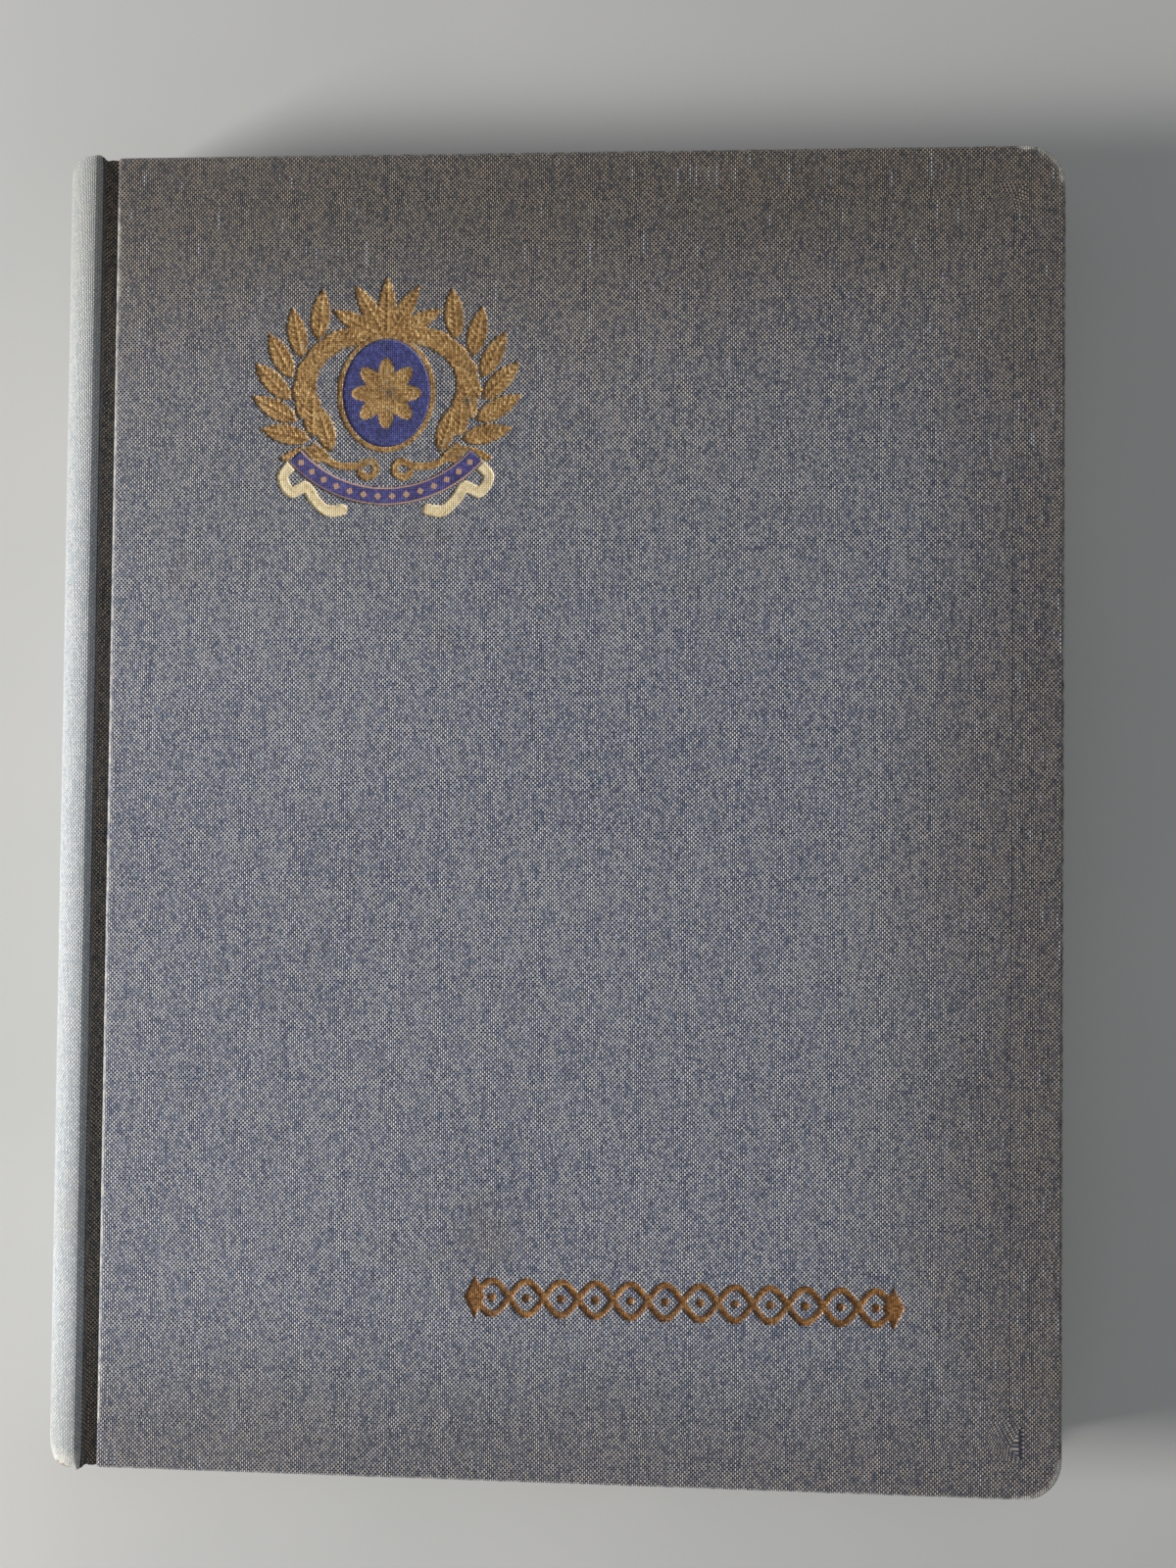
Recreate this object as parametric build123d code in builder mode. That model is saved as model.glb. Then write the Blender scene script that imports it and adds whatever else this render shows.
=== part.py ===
from build123d import *

# A loose-leaf stamp album with a hollow rounded spine, lying closed on its back cover.
# X runs from the spine to the fore-edge, Y from tail to head, and Z from the back cover to the
# front cover. The origin is under the middle of the album, on the surface that it lies on.

import os
from math import atan2, cos, degrees, hypot, radians, sin

os.makedirs("parts", exist_ok=True)

# Covers: a board in cloth, which is turned in over three edges, with a paper pasted inside.
COVER_W = 222.5  # from the board's spine-side edge to the fore-edge, over the cloth
COVER_H = 310.0  # from tail to head, over the cloth
CORNER_R = 9.0  # fore-edge corners, over the cloth
BOARD_T = 2.4
CLOTH_T = 0.4
TURN_IN = 15.0  # width of the cloth turned in on the inside of the board
PASTEDOWN_T = 0.15
PASTEDOWN_MARGIN = 4.0  # turned-in cloth left showing round the pastedown

# French groove: the hinge axis runs in it, between the board and the spine's ridge.
GROOVE_TO_BOARD = 1.9
GROOVE_TO_RIDGE = 2.2

# Spine: a stiff strip bent to a half ellipse, with a flat ridge along each side.
SPINE_DEPTH = 9.2  # from the ridge to the crown
RIDGE_W = 1.4
RIDGE_PROUD = 0.8  # ridge above the front cover
SPINE_OVERHANG = 0.5  # past the boards at head and tail
SPINE_STRIP_T = 1.2
SPINE_LINING_T = 0.3

# Leaf block: twelve sections of leaves, stacked between the covers.
SECTIONS = 12
LEAVES_PER_SECTION = 3
SECTION_PITCH = 1.1
LEAF_T = 0.28
LEAF_SQUARE = 4.0  # how far the covers reach past the leaves
BLOCK_CLEARANCE = 0.05  # between the pastedown and what lies on it

# Linen hinges: their folds lie further out towards the middle of the block, so that the
# sections stack on each other when the album is open.
FIRST_FOLD = 20.0  # groove axis to the fold of the outermost sections
FOLD_CLEARANCE = 0.15  # between two sections that stand on edge, beside their pitch
LINEN_CLEARANCE = 0.05

# Flaps and binding stubs, with the screw posts through them.
FLAP_GAP = 1.0  # groove axis to the flap's spine-side edge
FLAP_W = 14.0
FLAP_T = 2.0
FLAP_HINGE_T = 0.3
FLAP_HINGE_W = 19.0
FLAP_HINGE_INSET = 16.0  # from the cover's head and tail, clear of the turned-in cloth
STUB_CLEARANCE = 0.015
POST_COUNT = 3
POST_SPACING = 105.0
POST_R = 2.5
POST_HEAD_R = 5.0
POST_HEAD_T = 1.0
POST_BORE_R = 1.6
POST_FLOOR_T = 1.5  # solid metal under the barrel's bore, head included
SCREW_R = 1.5
SCREW_LENGTH = 8.0
SCREW_SLOT_W = 1.0
SCREW_SLOT_DEPTH = 0.5
POST_CLEARANCE = 0.15  # round the barrel, and at its upper end

# Ornaments, blocked into the front cover: foil on the floor of shallow pockets in the cloth.
# The crest is a wreath round a blue oval, with a fan of leaves over it and a ribbon under it.
PRESSED = 0.25  # depth of the pockets
FOIL_T = 0.1
CREST_FROM_SPINE = 65.0  # the oval's centre from the board's spine-side edge
CREST_FROM_HEAD = 57.0  # and from the cover's head
CREST_FIELD_RX = 10.4
CREST_FIELD_RY = 12.8
CREST_RIM_W = 1.3
ROSETTE_R = 8.4
ROSETTE_PETALS = 8
PETAL_W = 4.0
WREATH_RX = 22.5
WREATH_RY = 17.5
WREATH_LEAVES = 7  # pairs of leaves on each branch
WREATH_START = -56.0  # degrees round the oval
WREATH_STEP = 16.5
WREATH_LEAN = 38.0  # each leaf from its branch
LEAF_STALK = 0.5  # from the branch to the foot of its leaf
LEAF_SIDE = [(0.0, 0.0), (0.2, 0.8), (0.5, 1.0), (0.8, 0.6), (1.0, 0.0)]  # shares of length and half width
LEAF_SHAPE = 0.38  # width of a leaf of the wreath to its length
FOLIAGE_L = 12.5
FAN_L = 14.5
FAN_LEAVES = 5
FAN_STEP = 31.0
FAN_SHAPE = 0.3
SCROLL_W = 1.8  # the scrolls between the oval and the ribbon
SCROLL_ROUTE = [
    (17.0, -12.6), (12.6, -16.6), (7.4, -17.4), (3.4, -16.2), (2.2, -18.6), (4.4, -20.0), (6.0, -18.9)
]
RIBBON_R = 29.0
RIBBON_W = 4.4
RIBBON_DROP = 24.4  # from the oval's centre to the middle of the ribbon
RIBBON_HALF_ANGLE = 48.0
TAIL_W = 2.8
TAIL_ROUTE = [
    (21.9, -16.6), (24.4, -19.8), (22.4, -23.4), (18.9, -22.2), (16.9, -25.0), (13.8, -27.8), (10.2, -27.6)
]
TITLE_FROM_SPINE = 136.5  # the rule's middle from the board's spine-side edge
TITLE_FROM_TAIL = 42.5  # and from the cover's tail
TITLE_EYES = 12  # between the crossings of its two waved lines
TITLE_EYE_L = 8.0
TITLE_WAVE_H = 3.8  # each line's rise and fall from the rule's middle
TITLE_LINE_W = 1.6
TITLE_BEAD_R = 1.0  # in the middle of each eye
TITLE_LOZENGE_L = 5.0  # at each end
TITLE_LOZENGE_H = 10.0

# Heights in the closed album.
BOARD_TOP = CLOTH_T + BOARD_T
TURN_IN_TOP = BOARD_TOP + CLOTH_T
COVER_T = TURN_IN_TOP + PASTEDOWN_T
BLOCK_Z = COVER_T + BLOCK_CLEARANCE
BLOCK_T = SECTIONS * SECTION_PITCH
ALBUM_T = 2 * BLOCK_Z + BLOCK_T
STUBS_Z = BLOCK_Z + FLAP_T
STUBS_T = BLOCK_T - 2 * FLAP_T

# Places across the album.
ALBUM_W = SPINE_DEPTH + RIDGE_W + GROOVE_TO_RIDGE + GROOVE_TO_BOARD + COVER_W
FORE_X = ALBUM_W / 2
BOARD_X = FORE_X - COVER_W
GROOVE_X = BOARD_X - GROOVE_TO_BOARD
RIDGE_X = GROOVE_X - GROOVE_TO_RIDGE
FLAP_X = GROOVE_X + FLAP_GAP
STUB_END_X = FLAP_X + FLAP_W
POST_X = FLAP_X + FLAP_W / 2
LEAF_END_X = FORE_X - LEAF_SQUARE
LEAF_H = COVER_H - 2 * LEAF_SQUARE
SPINE_H = COVER_H + 2 * SPINE_OVERHANG

# A cover is built upwards from its outer face, and the front one looks down.
BACK = Plane.XY
FRONT = Plane(origin=(0, 0, ALBUM_T), x_dir=(1, 0, 0), z_dir=(0, 0, -1))
BLOCKED_Z = ALBUM_T - PRESSED
CREST = Plane((BOARD_X + CREST_FROM_SPINE, COVER_H / 2 - CREST_FROM_HEAD, BLOCKED_Z))
TITLE = Plane((BOARD_X + TITLE_FROM_SPINE, TITLE_FROM_TAIL - COVER_H / 2, BLOCKED_Z))

LEAVES = SECTIONS * LEAVES_PER_SECTION
LEAF_PITCH = SECTION_PITCH / LEAVES_PER_SECTION
STUB_PITCH = STUBS_T / LEAVES
LINEN_T = STUB_PITCH - LINEN_CLEARANCE
FOLD_STEP = SECTION_PITCH + FOLD_CLEARANCE
POST_SITES = [(POST_X, (n - (POST_COUNT - 1) / 2) * POST_SPACING) for n in range(POST_COUNT)]


def save(piece, node):
    """Names a finished piece and writes it under that name."""
    piece.part.label = node
    export_step(piece.part, f"parts/{node}.step")


def section_plane(side):
    """The plane across the album whose first axis is X and whose second rises from one cover."""
    return Plane(origin=side.origin, x_dir=(1, 0, 0), z_dir=(0, -side.z_dir.Z, 0))


# Covers


def cover_outline(plane, inset):
    """The cover's outline, drawn in on its three free edges and round at the fore-edge."""
    width = COVER_W - inset
    with BuildSketch(plane) as outline:
        with Locations((BOARD_X + width / 2, 0)):
            Rectangle(width, COVER_H - 2 * inset)
        if CORNER_R > inset:
            fillet(outline.vertices().group_by(Axis.X)[-1], CORNER_R - inset)
    return outline.sketch


def make_board(side):
    with BuildPart() as board:
        extrude(cover_outline(side.offset(CLOTH_T), CLOTH_T), amount=BOARD_T)
    return board


def make_cover_cloth(side, pressed):
    """The cloth on the outside, round the board's three free edges and turned in on the inside.

    pressed holds the outlines that are pressed into its outer face.
    """
    with BuildPart() as cloth:
        extrude(cover_outline(side, 0), amount=TURN_IN_TOP)
        extrude(cover_outline(side.offset(CLOTH_T), CLOTH_T), amount=BOARD_T, mode=Mode.SUBTRACT)
        extrude(cover_outline(side.offset(BOARD_TOP), TURN_IN), amount=CLOTH_T, mode=Mode.SUBTRACT)
        for outline in pressed:
            extrude(outline, amount=PRESSED, mode=Mode.SUBTRACT)
    return cloth


def make_pastedown(side):
    """A sheet on the board, which climbs over the turned-in cloth at its three free edges."""
    sheet_face = side.offset(BOARD_TOP)
    with BuildPart() as sheet:
        extrude(cover_outline(sheet_face, PASTEDOWN_MARGIN), amount=CLOTH_T + PASTEDOWN_T)
        with BuildSketch(sheet_face):
            with Locations((BOARD_X + COVER_W / 2, 0)):
                Rectangle(COVER_W, COVER_H)
            with Locations((BOARD_X + (COVER_W - TURN_IN) / 2, 0)):
                Rectangle(COVER_W - TURN_IN, COVER_H - 2 * TURN_IN, mode=Mode.SUBTRACT)
        extrude(amount=CLOTH_T, mode=Mode.SUBTRACT)
        hollow = cover_outline(sheet_face.offset(PASTEDOWN_T), TURN_IN + PASTEDOWN_T)
        extrude(hollow, amount=CLOTH_T, mode=Mode.SUBTRACT)
    return sheet


# Spine and grooves


def spine_section(inset, thickness):
    """The section of one layer of the spine, at some depth under the spine's outer face."""
    middle_z = (ALBUM_T + RIDGE_PROUD) / 2
    crown_x = RIDGE_X - RIDGE_W
    with BuildSketch(Plane.XZ) as section:
        for depth, mode in ((inset, Mode.ADD), (inset + thickness, Mode.SUBTRACT)):
            half_height = middle_z - depth
            with BuildLine():
                crown = EllipticalCenterArc(
                    (crown_x, middle_z),
                    SPINE_DEPTH - depth,
                    half_height,
                    start_angle=90,
                    arc_size=180,
                )
                Polyline(
                    crown @ 1,
                    (RIDGE_X, middle_z - half_height),
                    (RIDGE_X, middle_z + half_height),
                    crown @ 0,
                )
            make_face(mode=mode)
    return section.sketch


def make_spine_cloth():
    """The cloth over the spine, turned over the strip's two ends."""
    with BuildPart() as cloth:
        whole = spine_section(0, CLOTH_T + SPINE_STRIP_T)
        extrude(whole, amount=SPINE_H / 2, both=True)
        bare = spine_section(CLOTH_T, SPINE_STRIP_T)
        extrude(bare, amount=SPINE_H / 2 - CLOTH_T, both=True, mode=Mode.SUBTRACT)
    return cloth


def make_spine_layer(depth, thickness):
    with BuildPart() as layer:
        extrude(spine_section(depth, thickness), amount=SPINE_H / 2 - CLOTH_T, both=True)
    return layer


def make_joint_cloth(side, ridge_proud):
    """The cloth down the ridge, along the bottom of the groove and up the board's edge."""
    with BuildPart() as cloth:
        with BuildSketch(section_plane(side)):
            with BuildLine():
                Polyline(
                    (RIDGE_X, -ridge_proud),
                    (RIDGE_X, BOARD_TOP),
                    (BOARD_X, BOARD_TOP),
                    (BOARD_X, 0),
                    (BOARD_X - CLOTH_T, 0),
                    (BOARD_X - CLOTH_T, BOARD_TOP - CLOTH_T),
                    (RIDGE_X + CLOTH_T, BOARD_TOP - CLOTH_T),
                    (RIDGE_X + CLOTH_T, -ridge_proud),
                    close=True,
                )
            make_face()
        extrude(amount=COVER_H / 2, both=True)
    return cloth


# Flaps, screw posts and binding stubs


def make_flap(side):
    """A stiff strip that clamps the stubs, with a sunk seat for each post head."""
    cover_face = side.offset(BLOCK_Z)
    with BuildPart() as flap:
        with BuildSketch(cover_face):
            with Locations((POST_X, 0)):
                Rectangle(FLAP_W, LEAF_H)
        extrude(amount=FLAP_T)
        with Locations(Plane(cover_face.origin, x_dir=(1, 0, 0), z_dir=-cover_face.z_dir)):
            with Locations(*POST_SITES):
                CounterBoreHole(
                    POST_R + POST_CLEARANCE, POST_HEAD_R + POST_CLEARANCE, POST_HEAD_T, FLAP_T
                )
    return flap


def make_flap_hinge(side):
    """A cloth strip pasted inside the cover, and up the flap's spine-side edge."""
    pasted_z = BOARD_TOP + PASTEDOWN_T
    with BuildPart() as hinge:
        with BuildSketch(section_plane(side)):
            with BuildLine():
                Polyline(
                    (FLAP_X - FLAP_HINGE_T, pasted_z),
                    (FLAP_X - FLAP_HINGE_T + FLAP_HINGE_W, pasted_z),
                    (FLAP_X - FLAP_HINGE_T + FLAP_HINGE_W, pasted_z + FLAP_HINGE_T),
                    (FLAP_X, pasted_z + FLAP_HINGE_T),
                    (FLAP_X, BLOCK_Z + FLAP_T),
                    (FLAP_X - FLAP_HINGE_T, BLOCK_Z + FLAP_T),
                    close=True,
                )
            make_face()
        extrude(amount=COVER_H / 2 - FLAP_HINGE_INSET, both=True)
    return hinge


def make_post_barrels():
    """Blind tubes that stand on their heads in the back flap and reach into the front one."""
    top_z = ALBUM_T - BLOCK_Z - POST_HEAD_T - POST_CLEARANCE
    with BuildPart() as barrels:
        with BuildSketch(Plane.XY.offset(BLOCK_Z)):
            with Locations(*POST_SITES):
                Circle(POST_HEAD_R)
        extrude(amount=POST_HEAD_T)
        with BuildSketch(Plane.XY.offset(BLOCK_Z)):
            with Locations(*POST_SITES):
                Circle(POST_R)
        extrude(amount=top_z - BLOCK_Z)
        with Locations(Plane.XY.offset(top_z)):
            with Locations(*POST_SITES):
                Hole(POST_BORE_R, top_z - BLOCK_Z - POST_FLOOR_T)
    return barrels


def make_post_screws():
    """Slotted screws that sit in the front flap and run down into the barrels."""
    head_face = FRONT.offset(BLOCK_Z)
    with BuildPart() as screws:
        with BuildSketch(head_face):
            with Locations(*POST_SITES):
                Circle(POST_HEAD_R)
        extrude(amount=POST_HEAD_T)
        with BuildSketch(head_face):
            with Locations(*POST_SITES):
                Circle(SCREW_R)
        extrude(amount=POST_HEAD_T + SCREW_LENGTH)
        with BuildSketch(head_face):
            with Locations(*POST_SITES):
                Rectangle(SCREW_SLOT_W, 2 * POST_HEAD_R)
        extrude(amount=SCREW_SLOT_DEPTH, mode=Mode.SUBTRACT)
    return screws


def stub_z(leaf):
    """The height of the middle of one leaf's stub, counted from the back cover."""
    return STUBS_Z + (leaf + 0.5) * STUB_PITCH


def leaf_z(leaf):
    """The height of the middle of one leaf, counted from the back cover."""
    return BLOCK_Z + (leaf + 0.5) * LEAF_PITCH


def fold_x(section):
    """Where a section's linen hinges fold."""
    from_outside = min(section, SECTIONS - 1 - section)
    return GROOVE_X + FIRST_FOLD + FOLD_STEP * from_outside


def make_stubs():
    """Each leaf's stub, with a punched hole for each post."""
    with BuildPart() as stubs:
        with Locations(*[(POST_X, 0, stub_z(leaf)) for leaf in range(LEAVES)]):
            Box(FLAP_W, LEAF_H, STUB_PITCH - STUB_CLEARANCE)
        with Locations(Plane.XY.offset(STUBS_Z)):
            with Locations(*POST_SITES):
                Cylinder(
                    POST_R + POST_CLEARANCE,
                    STUBS_T,
                    align=(Align.CENTER, Align.CENTER, Align.MIN),
                    mode=Mode.SUBTRACT,
                )
    return stubs


def make_linen_hinges(sections):
    """The linen between each stub and its leaf, up to the fold."""
    with BuildPart() as hinges:
        for section in sections:
            for leaf in range(section * LEAVES_PER_SECTION, (section + 1) * LEAVES_PER_SECTION):
                with BuildSketch(Plane.XZ):
                    with BuildLine():
                        Polyline(
                            (STUB_END_X, stub_z(leaf) - LINEN_T / 2),
                            (fold_x(section), leaf_z(leaf) - LINEN_T / 2),
                            (fold_x(section), leaf_z(leaf) + LINEN_T / 2),
                            (STUB_END_X, stub_z(leaf) + LINEN_T / 2),
                            close=True,
                        )
                    make_face()
                extrude(amount=LEAF_H / 2, both=True)
    return hinges


def make_leaf_section(section):
    """Three leaves that turn together about one fold."""
    first = section * LEAVES_PER_SECTION
    width = LEAF_END_X - fold_x(section)
    middle_x = fold_x(section) + width / 2
    with BuildPart() as leaves:
        with Locations(*[(middle_x, 0, leaf_z(first + n)) for n in range(LEAVES_PER_SECTION)]):
            Box(width, LEAF_H, LEAF_T)
    return leaves


# Ornaments, blocked into the front cover


def oval(rim_w, mode=Mode.ADD):
    """The oval in the middle of the crest on the active sketch, with a rim round it."""
    Ellipse(CREST_FIELD_RX + rim_w, CREST_FIELD_RY + rim_w, mode=mode)


def rosette(mode=Mode.ADD):
    """Petals on the active sketch, which meet in the middle of the oval."""
    with PolarLocations(ROSETTE_R / 2, ROSETTE_PETALS):
        Ellipse(ROSETTE_R / 2, PETAL_W / 2, mode=mode)


def leaf(branch, heading, length, shape):
    """One leaf on the active sketch, which points away from its branch."""
    half_w = length * shape / 2
    side = [(LEAF_STALK + length * along, half_w * across) for along, across in LEAF_SIDE]
    other_side = [(along, -across) for along, across in side[-2:0:-1]]
    with BuildLine(Location((*branch, 0), (0, 0, heading))) as outline:
        Polyline(*side, *other_side, close=True)
    make_face(outline.edges())


def foliage():
    """The branches at the sides, the fan over the oval and the scrolls under it."""
    for n in range(WREATH_LEAVES):
        turn = WREATH_START + n * WREATH_STEP
        branch = (WREATH_RX * cos(radians(turn)), WREATH_RY * sin(radians(turn)))
        leaf(branch, turn + 90 - WREATH_LEAN, FOLIAGE_L, LEAF_SHAPE)
        leaf(branch, turn + 90 + WREATH_LEAN, FOLIAGE_L, LEAF_SHAPE)
    with BuildLine() as scroll:
        Spline(*SCROLL_ROUTE)
    trace(scroll.line, line_width=SCROLL_W)
    mirror(about=Plane.YZ)
    for n in range(FAN_LEAVES):
        leaf((0, CREST_FIELD_RY), 90 + (n - (FAN_LEAVES - 1) / 2) * FAN_STEP, FAN_L, FAN_SHAPE)


def ribbon_band(mode=Mode.ADD):
    """The curved band on the active sketch."""
    with BuildLine() as middle:
        centre = (0, RIBBON_R - RIBBON_DROP)
        CenterArc(centre, RIBBON_R, 270 - RIBBON_HALF_ANGLE, 2 * RIBBON_HALF_ANGLE)
    trace(middle.line, line_width=RIBBON_W, mode=mode)


def ribbon_tails(mode=Mode.ADD):
    """The two ends of the ribbon on the active sketch, which wind down from under the band."""
    for side in (-1, 1):
        for (x0, y0), (x1, y1) in zip(TAIL_ROUTE, TAIL_ROUTE[1:]):
            heading = degrees(atan2(y1 - y0, side * (x1 - x0)))
            with Locations((side * (x0 + x1) / 2, (y0 + y1) / 2)):
                SlotCenterToCenter(hypot(x1 - x0, y1 - y0), TAIL_W, rotation=heading, mode=mode)


def crest_outline():
    """The whole crest, which is pressed into the cloth as one pocket."""
    with BuildSketch(CREST) as outline:
        foliage()
        oval(CREST_RIM_W)
        ribbon_band()
        ribbon_tails()
    return outline.sketch


def title_outline():
    """Two waved lines that cross, with a bead in each eye and a lozenge at each end."""
    start_x = -TITLE_EYES * TITLE_EYE_L / 2
    with BuildSketch(TITLE) as outline:
        for way in (-1, 1):
            with BuildLine() as wave:
                crossings = [(start_x + n * TITLE_EYE_L, 0) for n in range(TITLE_EYES + 1)]
                crests = [
                    (x + TITLE_EYE_L / 2, way * TITLE_WAVE_H * (-1) ** n)
                    for n, (x, _) in enumerate(crossings[:-1])
                ]
                Spline(*sorted(crossings + crests))
            trace(wave.line, line_width=TITLE_LINE_W)
            with Locations((way * start_x, 0)):
                lozenge_x, lozenge_y = TITLE_LOZENGE_L / 2, TITLE_LOZENGE_H / 2
                Polygon((lozenge_x, 0), (0, lozenge_y), (-lozenge_x, 0), (0, -lozenge_y))
        with Locations(*[(x + TITLE_EYE_L / 2, 0) for x, _ in crossings[:-1]]):
            Circle(TITLE_BEAD_R)
    return outline.sketch


def make_crest_field():
    """The blue foil in the oval, round the rosette."""
    with BuildPart() as field:
        with BuildSketch(CREST):
            oval(0)
            rosette(Mode.SUBTRACT)
        extrude(amount=FOIL_T)
    return field


def make_crest_rosette():
    with BuildPart() as petals:
        with BuildSketch(CREST):
            rosette()
        extrude(amount=FOIL_T)
    return petals


def make_crest_wreath():
    """The gilt foliage and the oval's rim, where the ribbon leaves them in sight."""
    with BuildPart() as wreath:
        with BuildSketch(CREST):
            foliage()
            oval(CREST_RIM_W)
            oval(0, Mode.SUBTRACT)
            ribbon_band(Mode.SUBTRACT)
            ribbon_tails(Mode.SUBTRACT)
        extrude(amount=FOIL_T)
    return wreath


def make_crest_ribbon():
    with BuildPart() as ribbon:
        with BuildSketch(CREST):
            ribbon_band()
        extrude(amount=FOIL_T)
    return ribbon


def make_crest_ribbon_tails():
    with BuildPart() as tails:
        with BuildSketch(CREST):
            ribbon_tails()
            ribbon_band(Mode.SUBTRACT)
        extrude(amount=FOIL_T)
    return tails


def make_title_rule():
    with BuildPart() as rule:
        extrude(title_outline(), amount=FOIL_T)
    return rule


save(make_cover_cloth(BACK, []), "back_cover_cloth")
save(make_cover_cloth(FRONT, [crest_outline(), title_outline()]), "front_cover_cloth")
for cover, side, ridge_proud in (("back", BACK, 0), ("front", FRONT, RIDGE_PROUD)):
    save(make_board(side), f"{cover}_board")
    save(make_pastedown(side), f"{cover}_pastedown")
    save(make_joint_cloth(side, ridge_proud), f"{cover}_joint_cloth")
    save(make_flap(side), f"{cover}_flap")
    save(make_flap_hinge(side), f"{cover}_flap_hinge")

save(make_spine_cloth(), "spine_cloth")
save(make_spine_layer(CLOTH_T, SPINE_STRIP_T), "spine_strip")
save(make_spine_layer(CLOTH_T + SPINE_STRIP_T, SPINE_LINING_T), "spine_lining")

save(make_post_barrels(), "post_barrels")
save(make_post_screws(), "post_screws")
save(make_stubs(), "binding_stubs")
save(make_linen_hinges(range(SECTIONS // 2)), "back_linen_hinges")
save(make_linen_hinges(range(SECTIONS // 2, SECTIONS)), "front_linen_hinges")
for section in range(SECTIONS):
    save(make_leaf_section(section), f"leaf_section_{section + 1:02d}")

save(make_crest_field(), "crest_field")
save(make_crest_rosette(), "crest_rosette")
save(make_crest_wreath(), "crest_wreath")
save(make_crest_ribbon(), "crest_ribbon")
save(make_crest_ribbon_tails(), "crest_ribbon_tails")
save(make_title_rule(), "title_rule")
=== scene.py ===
from math import cos, pi, radians, sin

import bmesh
import bpy
import numpy as np
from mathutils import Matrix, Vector


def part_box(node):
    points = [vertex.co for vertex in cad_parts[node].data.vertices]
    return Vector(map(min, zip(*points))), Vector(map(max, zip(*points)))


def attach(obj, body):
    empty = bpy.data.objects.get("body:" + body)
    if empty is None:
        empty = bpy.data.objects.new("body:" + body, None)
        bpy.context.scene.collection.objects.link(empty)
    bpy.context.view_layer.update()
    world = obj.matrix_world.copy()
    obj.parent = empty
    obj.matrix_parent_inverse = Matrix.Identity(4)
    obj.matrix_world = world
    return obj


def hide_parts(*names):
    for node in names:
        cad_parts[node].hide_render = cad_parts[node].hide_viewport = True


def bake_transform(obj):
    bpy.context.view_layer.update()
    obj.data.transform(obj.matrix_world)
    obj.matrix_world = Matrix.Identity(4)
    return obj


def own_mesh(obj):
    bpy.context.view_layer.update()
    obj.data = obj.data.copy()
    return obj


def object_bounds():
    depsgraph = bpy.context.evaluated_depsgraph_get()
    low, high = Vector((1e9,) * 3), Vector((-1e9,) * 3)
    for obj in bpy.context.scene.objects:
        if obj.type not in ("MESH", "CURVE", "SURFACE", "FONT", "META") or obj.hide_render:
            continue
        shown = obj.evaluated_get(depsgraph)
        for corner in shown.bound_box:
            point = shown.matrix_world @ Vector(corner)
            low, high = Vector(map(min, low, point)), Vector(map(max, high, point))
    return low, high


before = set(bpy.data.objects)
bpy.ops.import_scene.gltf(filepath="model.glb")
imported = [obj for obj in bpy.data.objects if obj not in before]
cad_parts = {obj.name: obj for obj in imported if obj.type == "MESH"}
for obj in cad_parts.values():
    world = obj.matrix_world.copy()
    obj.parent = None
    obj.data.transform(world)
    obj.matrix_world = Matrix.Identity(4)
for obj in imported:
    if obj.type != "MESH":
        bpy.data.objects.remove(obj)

CAD_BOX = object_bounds()
MM = 0.001

# Places, from the CAD boxes.
cloth_lo, cloth_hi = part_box("front_cover_cloth")
spine_lo, spine_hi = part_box("spine_cloth")
crest_lo, crest_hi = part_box("crest_field")
title_lo, title_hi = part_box("title_rule")
stub_lo, stub_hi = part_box("binding_stubs")
hinge_lo, hinge_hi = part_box("front_flap_hinge")
BOARD_X = cloth_lo.x
FORE_X = cloth_hi.x
HALF_H = cloth_hi.y
ALBUM_T = cloth_hi.z
COVER_T = cloth_hi.z - cloth_lo.z
CLOTH_T = 0.4 * MM
CORNER_R = 9 * MM
CREST = ((crest_lo.x + crest_hi.x) / 2, (crest_lo.y + crest_hi.y) / 2)
TITLE = ((title_lo.x + title_hi.x) / 2, (title_lo.y + title_hi.y) / 2)
rng = np.random.default_rng(7)


# Meshes

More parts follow.
